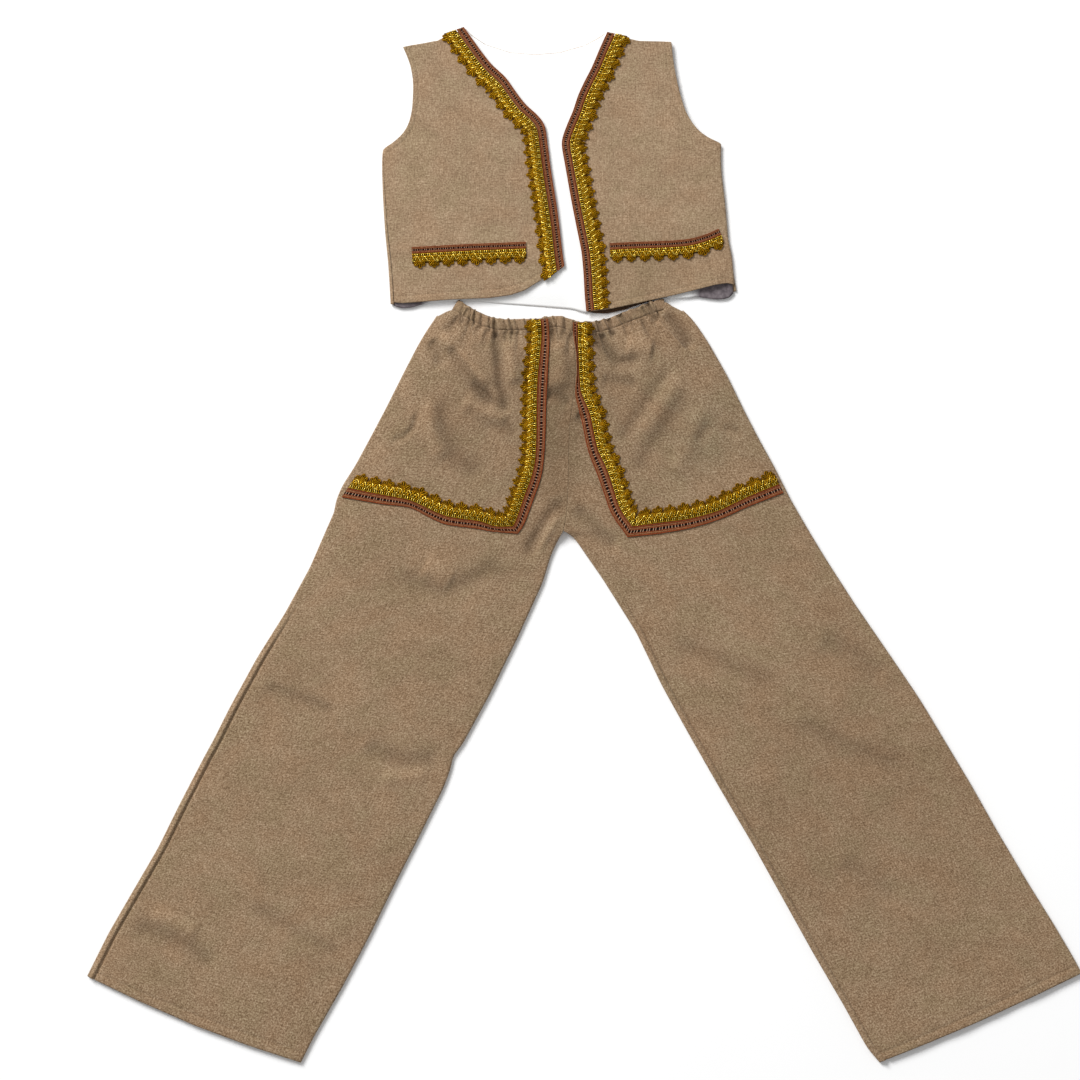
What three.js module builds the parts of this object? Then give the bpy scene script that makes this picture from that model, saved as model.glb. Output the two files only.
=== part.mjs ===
// A child's open vest and wide gathered trousers, laid flat as one set: vest above, trousers below.
// Lengths are in mm. X runs across the set, Y from the leg hems to the shoulders, Z up from the floor.
// Right and left are the wearer's, so the right half of each garment lies on the -X side.
import * as THREE from 'three';

const CLOTH = 1.1; // wall of one layer of cloth
const HEM = 1.7; // wall where the leg hem is turned up
const GAP = 0.3; // between pieces that are sewn together
const FOLD = 2.0; // outer radius of a side edge, where front and back cloth meet
const HIP_FOLD = 1.25; // the same at the corner beside the waistband
const HIP_RISE = 2.2; // how far the trouser front stands above its edges at the hips
const LEG_RISE = 1.1;
const VEST_RISE = 1.0;
const EDGE_SOFTNESS = 18; // distance over which a panel rises from its edge
const LOWEST_TOP = 2.9; // a crease never goes down into the back cloth

const BAND_HALF = 5.6; // half the height of the waistband
const BAND_WALL = 3.0; // elastic with cloth round it
const BAND_WAVE = 0.9; // how far its gathers stand out
const BAND_SPLIT = 0.4; // between its front and back layers
const GATHER_RISE = 1.0; // height of a gather where it leaves the waistband
const GATHER_FADE = 14;
const WAIST_TOP = 5.2; // top of the trouser front at the waist seam

const LINING_LOW = CLOTH + GAP;
const LINING_TOP = LINING_LOW + 1.0;

const GOLD_DEPTH = 15.5; // from the straight side of the gold braid to its tips
const GOLD_VALLEY = 10.5;
const CORNER_REACH = 40; // a mitre or a slanted end skews the braid over this length

const CLOTH_COLOUR = 0xa28b70;
const BAND_COLOUR = 0x8c745a;
const LINING_COLOUR = 0xe9e7e2;
const GOLD_COLOUR = 0xa9812f;
const BROWN_COLOUR = 0x75503a;

// right outer x, y, centre seam x, y, left outer x, y: waist to crotch
const HIPS = [
  [-133.4, 205.2, -12.2, 191.3, 89.2, 210.0],
  [-137.5, 199.3, -10.4, 184.5, 93.2, 205.5],
  [-141.8, 193.5, -8.6, 173.7, 98.6, 201.6],
  [-149.9, 180.0, -7.7, 159.3, 110.3, 184.5],
  [-164.3, 152.1, -9.5, 135.0, 128.3, 153.0],
  [-178.7, 123.3, -13.1, 108.0, 142.7, 123.3],
  [-193.0, 96.3, -14.0, 81.0, 156.6, 96.3],
  [-206.6, 71.1, -14.4, 56.7, 170.6, 71.1],
  [-218.3, 53.1, -15.3, 36.0, 180.5, 51.3],
  [-223.7, 40.5, -16.7, 22.5, 185.9, 40.5],
  [-225.5, 29.7, -18.9, 12.6, 192.2, 29.7],
];

// right outer x, y, right inner x, y, left inner x, y, left outer x, y: below the crotch to the hem
const LEGS = [
  [-230.5, 18.4, -25.5, 1.3, -9.5, 7.0, 198.5, 18.9],
  [-235.4, 7.2, -30.6, -10.4, -0.5, -6.3, 204.8, 8.1],
  [-247.0, -19.8, -37.4, -33.4, 15.8, -29.7, 217.4, -12.6],
  [-269.6, -61.2, -59.9, -82.9, 46.4, -78.3, 243.5, -53.1],
  [-295.0, -101.7, -85.1, -134.2, 69.8, -126.9, 271.4, -93.6],
  [-318.2, -144.0, -110.0, -179.8, 96.8, -175.5, 297.6, -132.2],
  [-325.4, -158.0, -118.5, -190.2, 105.2, -190.1, 305.6, -144.7],
  [-332.6, -172.8, -120.5, -201.4, 113.5, -204.7, 313.2, -157.4],
  [-342.5, -190.8, -126.9, -218.7, 124.7, -224.1, 323.3, -174.3],
  [-364.0, -232.2, -150.8, -266.5, 151.7, -270.0, 348.2, -215.9],
  [-384.0, -272.7, -172.4, -308.8, 178.7, -318.6, 371.9, -257.9],
  [-405.5, -309.6, -193.1, -351.1, 205.7, -367.2, 398.3, -302.4],
  [-428.4, -349.2, -217.4, -397.0, 233.6, -414.9, 423.5, -342.9],
  [-439.7, -371.7, -243.9, -443.3, 254.6, -453.0, 437.9, -367.2],
  [-447.8, -388.0, -255.4, -466.2, 266.0, -466.2, 447.8, -385.2],
];
const HEM_ROW = HIPS.length + LEGS.length - 2; // the last row of plain cloth
const CROTCH_ROW = HIPS.length - 1;
const LAST_TURN = CROTCH_ROW + 6; // the side seams have rolled as far onto the front as they go

// right side x, y, right front edge x, y, left front edge x, y, left side x, y: hem to shoulder
const VEST = [
  [-174.6, 218.7, -18.0, 251.1, 1.4, 210.2, 135.0, 234.5],
  [-175.5, 234.0, -19.8, 263.7, 0.0, 224.1, 134.1, 245.7],
  [-176.9, 254.7, -22.0, 283.5, -0.9, 243.0, 132.8, 260.1],
  [-179.6, 281.7, -24.8, 305.1, -2.7, 263.7, 129.6, 274.5],
  [-181.4, 310.5, -28.4, 326.7, -6.8, 283.5, 128.3, 290.7],
  [-181.85, 323.1, -29.8, 335.7, -11.3, 306.0, 126.5, 310.5],
  [-182.3, 335.7, -31.1, 344.7, -15.3, 328.5, 123.8, 332.1],
  [-182.3, 349.2, -32.4, 355.5, -18.0, 343.8, 122.9, 346.5],
  [-181.4, 356.0, -33.3, 361.8, -19.8, 353.7, 123.6, 357.3],
  [-175.0, 360.5, -33.8, 367.2, -21.2, 360.0, 120.4, 363.0],
  [-168.8, 365.0, -34.7, 372.6, -20.3, 366.3, 111.2, 367.2],
  [-162.5, 371.3, -35.6, 378.9, -18.0, 372.6, 103.1, 372.6],
  [-158.0, 379.8, -41.9, 387.0, -14.9, 380.7, 96.3, 380.7],
  [-155.3, 391.5, -52.7, 396.0, -10.4, 390.6, 90.5, 391.5],
  [-154.4, 405.9, -61.7, 407.7, -6.3, 404.1, 86.4, 405.0],
  [-154.4, 418.5, -70.7, 421.2, 0.0, 417.6, 83.3, 418.5],
  [-156.6, 431.1, -84.2, 432.9, 6.3, 429.3, 80.6, 432.0],
  [-159.8, 440.1, -95.0, 447.3, 13.0, 445.5, 79.2, 443.7],
  [-163.4, 448.2, -108.5, 466.2, 20.3, 461.7, 78.3, 452.7],
];
const ARMHOLE_ROW = 8; // the side seam ends here
const BACK_HEM_ENDS = [[-174.6, 216.9], [136.8, 228.6]];

// how far an edge strays from the straight line between its ends: share of its length from the side, offset
const RIGHT_HEM_BOW = [[0, 0], [0.17, -4.1], [0.34, -7.9], [0.57, -14.5], [0.69, -16], [0.77, -14.6], [0.86, -9], [1, 0]];
const RIGHT_SHOULDER_BOW = [[0, 0], [0.3, -2], [0.56, -3.4], [0.67, -1.8], [1, 0]];
const LEFT_HEM_BOW = [[0, 0], [0.05, 1.7], [0.13, 2], [0.4, 0], [0.82, -1.4], [1, 0]];
const LEFT_SHOULDER_BOW = [[0, 0], [0.5, -2.8], [1, 0]];
const LEG_HEM_BOW = {
  right: [[0, 0], [0.25, -3.4], [0.5, -5], [0.75, -3.6], [1, 0]],
  left: [[0, 0], [0.25, -1.8], [0.5, -2.6], [0.75, -1.8], [1, 0]],
};

// x, y along the lower and the upper edge of the vest back
const BACK_HEM = [
  [-174.6, 216.9], [-166, 216], [-155, 217.5], [-140, 220.5], [-113, 221], [-98, 221], [-75, 219], [-40, 216.5],
  [-10, 215.5], [10, 215], [30, 217], [50, 221], [70, 222.9], [95, 224.8], [103, 225.5], [114, 223.8],
  [123, 222.9], [132, 224], [136.8, 228.6],
];
const BACK_TOP = [
  [-163.4, 448.2], [-146.3, 451.8], [-132.8, 454.8], [-126.5, 458.5], [-115.7, 463.3], [-108.5, 466.2],
  [-103.1, 459.9], [-89.6, 450.9], [-67.1, 443.7], [-44.6, 441.9], [-22.1, 443.7], [0.5, 450], [14, 457.2],
  [20.3, 461.7], [25.7, 460.8], [39.2, 456.3], [50, 453.2], [59, 452.7], [78.3, 452.7],
];

// x, y along the middle of the waistband
const BAND_LINE = [
  [-115.2, 215.4], [-111.2, 212.8], [-104, 208.2], [-95, 203.8], [-85, 199.8], [-73.4, 197.9], [-58, 198],
  [-40, 198.5], [-25.7, 200.7], [-14.9, 198.5], [-4, 195.3], [11.3, 196.2], [23, 198.9], [35.6, 203.9],
  [50, 209.3], [58.9, 212.6], [66.2, 215.1], [71.1, 216.4],
];
// length along the waistband, gathers up to there
const GATHERS = [[0, 0], [80, 13], [95, 15], [118, 18], [135, 20], [198, 28]];
// x, y of the hip corners that stand out past the ends of the waistband
const HIP_TOP_RIGHT = [[-133.4, 205.2], [-125.2, 208.6]];
const HIP_TOP_LEFT = [[79.5, 211.6], [89.2, 210]];

// height (+ ridge, - valley), half width, then x, y along the crease
const CREASES = [
  [-2.6, 5.5, [-137, 183.6], [-121, 164.7], [-102, 145.8], [-83, 129.6], [-64, 121.5]],
  [2.3, 8, [-116.6, 180], [-95.9, 155.7], [-78.8, 139.5]],
  [-2.6, 5, [-81.8, 192.6], [-79.1, 162], [-69.8, 126.9]],
  [2.0, 7, [-68.9, 186.3], [-65.3, 162], [-61.7, 144]],
  [-2.0, 6, [-129.2, 129.6], [-125.1, 99.9], [-113, 75.6], [-96.8, 67.5]],
  [1.6, 8, [-137.3, 135], [-136.4, 103.5], [-125.6, 74.7]],
  [-1.8, 5.5, [-104.9, 118.8], [-86, 105.3], [-61.7, 102.6]],
  [1.6, 7, [-110.3, 132.3], [-89.6, 118.8], [-67.1, 112.5]],
  [-2.2, 6, [16.7, 180.9], [27.5, 164.7], [54.5, 162]],
  [1.8, 10, [36.5, 180], [63.5, 175.5]],
  [-1.8, 5.5, [81.5, 164.7], [62.6, 137.7], [41, 105.3], [30.2, 89.1]],
  [1.6, 7, [90.5, 155.7], [69.8, 125.1], [50, 94.5]],
  [-1.9, 6, [95, 140.4], [76.1, 110.7], [57.2, 83.7], [49.1, 62.1]],
  [1.2, 9, [109.4, 132.3], [95, 94.5], [78.8, 58.5]],
  [2.6, 9, [-22, 186], [-20.3, 162], [-22, 139]],
  [-1.6, 6, [-16.7, 42.3], [-31, 25.2], [-43.7, 6.3], [-52.7, -13.5]],
  [-1.6, 6, [-9.5, 36], [5, 20.7], [19.4, 4.5], [32, -2.7]],
  [-1.4, 9, [-176.9, -22.5], [-148, -37.8], [-125.6, -43.2], [-103, -33.3], [-83.3, -22.5], [-56.3, -40.5]],
  [-1.4, 9, [-200.3, -179.1], [-166, -196.2], [-125.6, -193.5]],
  [-1.4, 9, [-407.3, -340.2], [-367.7, -357.3], [-327.2, -380.7]],
];

// x, y of the line where gold meets brown, then the width of the brown braid at that point
const TROUSER_TRIM = {
  right: {
    down: [[-39.2, 203.2, 6.3], [-38.3, 189, 6.5], [-42, 146.7, 8.6], [-42.8, 114.3, 7.9], [-42.8, 103.5, 7.7],
      [-44.1, 76.5, 7.3], [-46.9, 63, 8], [-55, 40.5, 8.4], [-61.1, 22.5, 7.4], [-64, 16.4, 6.2]],
    across: [[-64, 16.4, 6.2], [-80.6, 16.6, 4.4], [-94.1, 20.9, 6.6], [-124.7, 25.8, 6.9], [-149.6, 36.7, 5.6],
      [-158, 40.1, 6], [-182.9, 45, 8], [-213.2, 51.2, 9]],
    slant: -0.39,
  },
  left: {
    down: [[-6.3, 200.4, 4.2], [-6.3, 189, 3.9], [-5.6, 172, 1.8], [-5, 155, 1.8], [-3.2, 136.8, 5.2],
      [3.2, 121.5, 8.4], [5.4, 114.3, 8.5], [7.6, 103.5, 8.5], [11.8, 85.5, 8.4], [19.9, 67.5, 9.6],
      [26, 49.5, 9.2], [32.2, 31.5, 8.6], [42.6, 16.4, 8.6]],
    across: [[42.6, 16.4, 8.6], [68, 19.8, 9.6], [95, 23.5, 8], [120.2, 30.4, 7], [139.1, 39.2, 7.4],
      [151.7, 45, 8], [175.4, 54.6, 8.4]],
    slant: -0.05,
  },
};
const DOWN_PITCH = 11.2; // between the tips of the gold braid
const ACROSS_PITCH = 13.9;
const EDGE_PITCH = 10.2;
const POCKET_PITCH = 13;
const EDGE_BROWN = 6.8; // width of the brown braid along the vest edge
const EDGE_TRIM = { right: { hem: -0.58, shoulder: 0.3 }, left: { hem: 0.04, shoulder: 0.22 } };
// x, y along the top of each pocket trim
const POCKET_TOP = {
  right: [[-155.6, 267.9], [-104, 270.6], [-52.7, 272.7]],
  left: [[22.5, 271.4], [45, 272.5], [76, 273.6], [95.4, 275.6], [107, 278.7], [120.8, 284.4]],
};
const POCKET_BROWN = 5.6;
const POCKET_DEPTH = { right: 13.5, left: 11.9 };

const mix = (a, b, t) => a + (b - a) * t;
const fade = (distance, reach) => Math.exp(-distance / reach);
const smooth = (low, high, x) => THREE.MathUtils.smoothstep(x, low, high);

/** Reads a table of [position, value] rows at a position, in straight lines between the rows. */
function read(table, at) {
  let k = 0;
  while (k < table.length - 2 && at > table[k + 1][0]) k += 1;
  const [[x0, y0], [x1, y1]] = [table[k], table[k + 1]];
  return mix(y0, y1, (at - x0) / (x1 - x0));
}

// ---------------------------------------------------------------- closed walls

/** Joins two rows of points with triangles. Each point has a place t along its row. */
function zip(faces, lower, upper) {
  let i = 0;
  let j = 0;
  while (i < lower.length - 1 || j < upper.length - 1) {
    const alongLower = j === upper.length - 1
      || (i < lower.length - 1 && lower[i + 1].t + lower[i].t <= upper[j + 1].t + upper[j].t);
    if (alongLower) {
      faces.push(lower[i], lower[i + 1], upper[j]);
      i += 1;
    } else {
      faces.push(lower[i], upper[j + 1], upper[j]);
      j += 1;
    }
  }
}

/** A closed body between an outer and an inner skin, given as equal numbers of rows. */
function closedWall(outer, inner) {
  const faces = [];
  const last = outer.length - 1;
  for (let r = 0; r < last; r += 1) {
    zip(faces, outer[r], outer[r + 1]);
    zip(faces, inner[r + 1], inner[r]);
  }
  zip(faces, inner[0], outer[0]);
  zip(faces, outer[last], inner[last]);
  const column = (rows, pick) => rows.map((row, r) => ({ ...row.at(pick), t: r }));
  zip(faces, column(outer, 0), column(inner, 0));
  zip(faces, column(inner, -1), column(outer, -1));
  return facing(faces);
}

/** An indexed geometry from corner points, turned so that it faces out. */
function facing(faces) {
  const seen = new Map();
  const position = [];
  const index = faces.map(({ x, y, z }) => {
    const key = [x, y, z].map((value) => value.toFixed(4)).join();
    if (!seen.has(key)) {
      seen.set(key, seen.size);
      position.push(x, y, z);
    }
    return seen.get(key);
  });
  let volume = 0;
  for (let k = 0; k < index.length; k += 3) {
    const [a, b, c] = [0, 1, 2].map((n) => new THREE.Vector3().fromArray(position, index[k + n] * 3));
    volume += a.dot(b.cross(c));
  }
  if (volume < 0) index.reverse();
  const kept = [];
  for (let k = 0; k < index.length; k += 3) {
    const corners = index.slice(k, k + 3);
    if (new Set(corners).size === 3) kept.push(...corners);
  }
  const geometry = new THREE.BufferGeometry();
  geometry.setAttribute('position', new THREE.Float32BufferAttribute(position, 3));
  geometry.setIndex(kept);
  geometry.computeVertexNormals();
  return geometry;
}

// ---------------------------------------------------------------- panels

/** Gives each row of a panel the inward direction at its two ends. */
function withNormals(rows) {
  const normal = (end, other, k) => {
    const [from, to] = [rows[Math.max(0, k - 1)][end], rows[Math.min(rows.length - 1, k + 1)][end]];
    const n = [-(to[1] - from[1]), to[0] - from[0]];
    const here = rows[k][end];
    const across = [rows[k][other][0] - here[0], rows[k][other][1] - here[1]];
    const scale = Math.sign(n[0] * across[0] + n[1] * across[1]) / Math.hypot(...n);
    return [n[0] * scale, n[1] * scale];
  };
  let along = 0;
  return rows.map((row, k) => {
    if (k > 0) {
      const before = rows[k - 1];
      along += Math.hypot(row.o[0] + row.i[0] - before.o[0] - before.i[0],
        row.o[1] + row.i[1] - before.o[1] - before.i[1]) / 2;
    }
    return { ...row, along, no: normal('o', 'i', k), ni: normal('i', 'o', k) };
  });
}

/** The row at a place between two rows of a panel. */
function rowAt(rows, v) {
  const k = Math.min(Math.floor(v), rows.length - 2);
  const blend = (a, b) => (Array.isArray(a) ? a.map((value, n) => mix(value, b[n], v - k)) : mix(a, b, v - k));
  return Object.fromEntries(Object.keys(rows[k]).map((name) => [name, blend(rows[k][name], rows[k + 1][name])]));
}

/** Points on both skins of a folded edge. l is the length round the fold from its outermost line, up being +. */
function foldedEdge(row, end, ls) {
  const { fold: r, wall } = row;
  const [edge, n, open] = end === 'o' ? [row.o, row.no, row.openO] : [row.i, row.ni, row.openI];
  const quarter = (r * Math.PI) / 2;
  return ls.map((l) => {
    const angle = THREE.MathUtils.clamp(l, -quarter, quarter) / r;
    const past = Math.max(0, Math.abs(l) - quarter) - open * r;
    const at = (radius) => {
      const s = r - radius * Math.cos(angle) + past;
      return { x: edge[0] + n[0] * s, y: edge[1] + n[1] * s, z: r + radius * Math.sin(angle) };
    };
    return { outer: at(r), inner: at(r - wall) };
  });
}

/** One row of a front panel: fold, top, fold. */
function frontRow(row, shares, height, bow) {
  const quarter = (row.fold * Math.PI) / 2;
  const edge = (end) => {
    const [wrap, open] = end === 'o' ? [row.wrapO, row.openO] : [row.wrapI, row.openI];
    const start = mix(wrap, quarter, open) + GAP / 2;
    return foldedEdge(row, end, start < quarter - 0.3 ? [start, (start + quarter) / 2, quarter] : [start]);
  };
  return section(row, edge('o'), edge('i').reverse(), shares, (x, y, u, out, inn) => {
    const z = height(row, x, y, u, out, inn);
    return [z, z - row.wall];
  }, bow);
}

/** One row of a back panel, flat on the floor between its folds. */
function backRow(row, shares, bow) {
  const quarter = (row.fold * Math.PI) / 2;
  const edge = (end) => {
    const [wrap, open] = end === 'o' ? [row.wrapO, row.openO] : [row.wrapI, row.openI];
    const start = mix(wrap, -quarter, open) - GAP / 2;
    if (start < 0.3 - quarter) return foldedEdge(row, end, [start]);
    const round = [0.2, -0.9].filter((l) => l * quarter < start - 0.2).map((l) => l * quarter);
    if (start > quarter + 0.3) round.unshift(quarter);
    return foldedEdge(row, end, [start, ...round.map((l) => Math.max(l, 0.3 - quarter)), -quarter]);
  };
  return section(row, edge('o'), edge('i').reverse(), shares, () => [0, row.wall], bow);
}

/** Puts the two edges of a row and the cloth between them together. shares are places across, 0 to 1. */
function section(row, first, second, shares, heights, bow) {
  const skins = { outer: [], inner: [] };
  const [from, to] = [first.at(-1).outer, second[0].outer];
  const across = Math.hypot(to.x - from.x, to.y - from.y);
  const add = (skin, point, t) => skins[skin].push({ ...point, t });
  first.forEach((p, k) => ['outer', 'inner'].forEach((skin) => add(skin, p[skin], 0.01 * (k + 1 - first.length))));
  shares.forEach((u) => {
    const x = mix(from.x, to.x, u);
    const y = mix(from.y, to.y, u) + bow(u, x, row);
    const [outerZ, innerZ] = heights(x, y, u, u * across, (1 - u) * across);
    add('outer', { x, y, z: outerZ }, u);
    add('inner', { x, y, z: innerZ }, u);
  });
  second.forEach((p, k) => ['outer', 'inner'].forEach((skin) => add(skin, p[skin], 1 + 0.01 * k)));
  return skins;
}

const evenly = (count) => Array.from({ length: count }, (_, k) => (k + 1) / (count + 1));
const between = (from, to, steps) => Array.from({ length: steps }, (_, k) => mix(from, to, k / steps));
const wallOf = (rows) => closedWall(rows.map((row) => row.outer), rows.map((row) => row.inner));

// ---------------------------------------------------------------- creases

/** How high the creases stand at a point of the trousers. */
function creaseHeight(x, y) {
  let height = 0;
  for (const [rise, width, ...line] of CREASES) {
    let nearest = Infinity;
    let share = 0;
    for (let k = 0; k < line.length - 1; k += 1) {
      const [ax, ay] = line[k];
      const [dx, dy] = [line[k + 1][0] - ax, line[k + 1][1] - ay];
      const t = THREE.MathUtils.clamp(((x - ax) * dx + (y - ay) * dy) / (dx * dx + dy * dy), 0, 1);
      const distance = Math.hypot(x - ax - t * dx, y - ay - t * dy);
      if (distance < nearest) [nearest, share] = [distance, (k + t) / (line.length - 1)];
    }
    height += rise * Math.exp(-((nearest / width) ** 2)) * smooth(0, 0.25, share) * smooth(0, 0.25, 1 - share);
  }
  return height;
}

// ---------------------------------------------------------------- waistband

const line = (points) => new THREE.CatmullRomCurve3(
  points.map(([x, y]) => new THREE.Vector3(x, y, 0)), false, 'centripetal');
const band = line(BAND_LINE);
const bandLength = band.getLength();
/** A point of the waistband's middle line and its direction there. */
function bandAt(s) {
  const share = THREE.MathUtils.clamp(s / bandLength, 0, 1);
  return { at: band.getPointAt(share), along: band.getTangentAt(share) };
}
// the line that the trousers are sewn to, from hip corner to hip corner: x, y, length along the waistband
const seam = between(0, bandLength, 120).concat(bandLength).map((s) => {
  const { at, along } = bandAt(s);
  const down = BAND_HALF + GAP + 0.1;
  return [at.x + along.y * down, at.y - along.x * down, s];
});
const waistLine = [...HIP_TOP_RIGHT, ...seam.map(([x, y]) => [x, y]), ...HIP_TOP_LEFT];
const waistY = (x) => read(waistLine, x);
const gathersAt = (s) => read(GATHERS, s);
const pleat = (count) => 1 - 4 * Math.abs(count - Math.floor(count) - 0.5); // -1 at whole numbers, +1 between

function waistband() {
  const half = BAND_WALL / 2;
  const front = (s, turn, side) => {
    // turn goes from 0 on the front to pi on the back, round the end of the band
    const { at, along } = bandAt(s);
    const radius = half + BAND_SPLIT / 2;
    const out = { x: along.x * side * Math.sin(turn), y: along.y * side * Math.sin(turn), z: Math.cos(turn) };
    const wave = turn === 0 && s > 1 && s < bandLength - 1
      ? BAND_WAVE * (0.5 + 0.5 * pleat(gathersAt(s))) : 0;
    const ring = [[-BAND_HALF, -half], [BAND_HALF, -half], [BAND_HALF, 0.5 * half], [0.68 * BAND_HALF, half],
      [-0.68 * BAND_HALF, half], [-BAND_HALF, 0.5 * half]];
    return ring.map(([w, n]) => {
      const d = radius + n + (n > 0 ? wave * (n / half) : 0);
      return {
        x: at.x - along.y * w + out.x * d,
        y: at.y + along.x * w + out.y * d,
        z: half * 2 + BAND_SPLIT / 2 + out.z * d,
      };
    });
  };
  const stations = [];
  const steps = Math.round(gathersAt(bandLength) * 2);
  const lengthAt = (count) => read(GATHERS.map(([s, n]) => [n, s]), count);
  for (let k = 0; k <= steps; k += 1) stations.push(front(Math.min(lengthAt(k / 2), bandLength), 0, 1));
  for (const turn of [0.25, 0.5, 0.75]) stations.push(front(bandLength, turn * Math.PI, 1));
  for (const share of between(1, 0, 24).concat(0)) stations.push(front(share * bandLength, Math.PI, 1));
  for (const turn of [0.75, 0.5, 0.25]) stations.push(front(0, turn * Math.PI, -1));
  const faces = [];
  stations.forEach((ring, k) => {
    const next = stations[(k + 1) % stations.length];
    ring.forEach((p, n) => {
      const m = (n + 1) % ring.length;
      faces.push(p, ring[m], next[n], ring[m], next[m], next[n]);
    });
  });
  return facing(faces);
}

// ---------------------------------------------------------------- trousers

function trouserRows(side) {
  const right = side === 'right';
  const hips = HIPS.map(([rx, ry, cx, cy, lx, ly], k) => ({
    o: right ? [rx, k ? ry : waistY(rx)] : [lx, k ? ly : waistY(lx)], i: [cx, k ? cy : waistY(cx)],
  }));
  const legs = LEGS.map(([rox, roy, rix, riy, lix, liy, lox, loy]) => ({
    o: right ? [rox, roy] : [lox, loy], i: right ? [rix, riy] : [lix, liy],
  }));
  return withNormals([...hips, ...legs].map((row, k) => ({
    ...row,
    fold: k ? FOLD : HIP_FOLD,
    wall: k > HEM_ROW ? HEM : CLOTH,
    // below the knee the side seam has rolled onto the front, on the outside of one leg and the inside of the other
    wrapO: right ? 5.5 * (1 - smooth(-110, -40, row.o[1])) : 0,
    wrapI: right ? 0 : 6.5 * (1 - smooth(-90, -20, row.i[1])),
    openO: 0,
    openI: k > CROTCH_ROW ? 0 : 1,
    rise: mix(HIP_RISE, LEG_RISE, smooth(CROTCH_ROW - 2, CROTCH_ROW + 5, k)) * (k > HEM_ROW ? 0.5 : 1),
  })));
}

/** Moves the first rows onto the waist seam and bows the hem. */
function trouserBow(side, rows) {
  const first = rows[0];
  const length = rows.at(-1).along;
  return (u, x, row) => {
    const topX = mix(first.o[0], first.i[0], u);
    const stray = waistY(topX) - mix(first.o[1], first.i[1], u);
    return stray * fade(row.along, 22) + read(LEG_HEM_BOW[side], u) * fade(length - row.along, 25);
  };
}

function trouserHeight(side, rows) {
  const first = rows[0];
  const [start, end] = [seam[0][0] - 3, seam.at(-1)[0] + 3];
  return (gathered) => (row, x, y, u, fromOuter, fromInner) => {
    const topX = mix(first.o[0], first.i[0], u);
    const sewn = smooth(start - 2, start + 2, topX) * smooth(-end - 2, -end + 2, -topX);
    const waist = mix(2 * HIP_FOLD, WAIST_TOP, sewn);
    const inner = row.openI > 0.5 ? 1 : 1 - fade(fromInner, EDGE_SOFTNESS);
    const outer = 1 - fade(fromOuter, EDGE_SOFTNESS);
    const mask = smooth(0, 12, fromOuter) * (row.openI > 0.5 ? 1 : smooth(0, 12, fromInner)) * smooth(2, 14, row.along);
    const plain = 2 * row.fold + row.rise * outer * inner + creaseHeight(x, y) * mask;
    const base = mix(waist, Math.max(plain, LOWEST_TOP), 1 - fade(row.along, 6));
    const count = gathersAt(read(seam.map(([sx, , s]) => [sx, s]), topX));
    return base + (gathered ? pleat(count) : -1) * GATHER_RISE * fade(row.along, GATHER_FADE) * sewn;
  };
}

function trouserFront(side) {
  const right = side === 'right';
  const rows = trouserRows(side);
  const bow = trouserBow(side, rows);
  const height = trouserHeight(side, rows);
  const [from, to] = [rows[0].o[0], rows[0].i[0]];
  const lengths = seam.map(([x, , s]) => [s, x]);
  const counts = Array.from({ length: 57 }, (_, k) => k / 2);
  const pleats = counts.map((n) => (read(lengths, read(GATHERS.map(([s, c]) => [c, s]), n)) - from) / (to - from))
    .filter((u) => u > 0.03 && u < 0.99).sort((a, b) => a - b);
  const places = [0, 0.5, ...between(1, 3, 4), ...between(3, 8, 14), ...between(8, CROTCH_ROW, 3),
    ...between(CROTCH_ROW, LAST_TURN, 11), ...between(LAST_TURN, HEM_ROW, 9), HEM_ROW, HEM_ROW + 1];
  const made = places.map((v) => {
    const row = rowAt(rows, v);
    const plain = evenly(v > CROTCH_ROW ? 10 : right ? 23 : 18);
    const outer = frontRow(row, row.along < 20 ? pleats : plain, height(true), bow);
    const inner = frontRow(row, plain, height(false), bow);
    return { outer: outer.outer, inner: inner.inner };
  });
  return wallOf(made);
}

function trouserBack(side) {
  const rows = trouserRows(side);
  const bow = trouserBow(side, rows);
  const places = [...between(0, CROTCH_ROW, CROTCH_ROW), ...between(CROTCH_ROW, LAST_TURN, 11),
    ...between(LAST_TURN, HEM_ROW, 9), HEM_ROW, HEM_ROW + 1];
  return wallOf(places.map((v) => {
    const row = rowAt(rows, v);
    return backRow(row, evenly(row.along < 20 ? 14 : v > HEM_ROW ? 4 : 1), bow);
  }));
}

// ---------------------------------------------------------------- vest

function vestRows(side) {
  return withNormals(VEST.map(([rsx, rsy, rex, rey, lex, ley, lsx, lsy], k) => ({
    o: side === 'right' ? [rsx, rsy] : [lsx, lsy],
    i: side === 'right' ? [rex, rey] : [lex, ley],
    fold: FOLD,
    wall: CLOTH,
    // the right side seam has rolled a little onto the front
    wrapO: side === 'right' ? 4.5 * (1 - smooth(0, ARMHOLE_ROW, k)) : 0,
    wrapI: 0,
    openO: k > ARMHOLE_ROW ? 1 : 0,
    openI: 1,
  })));
}

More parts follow.
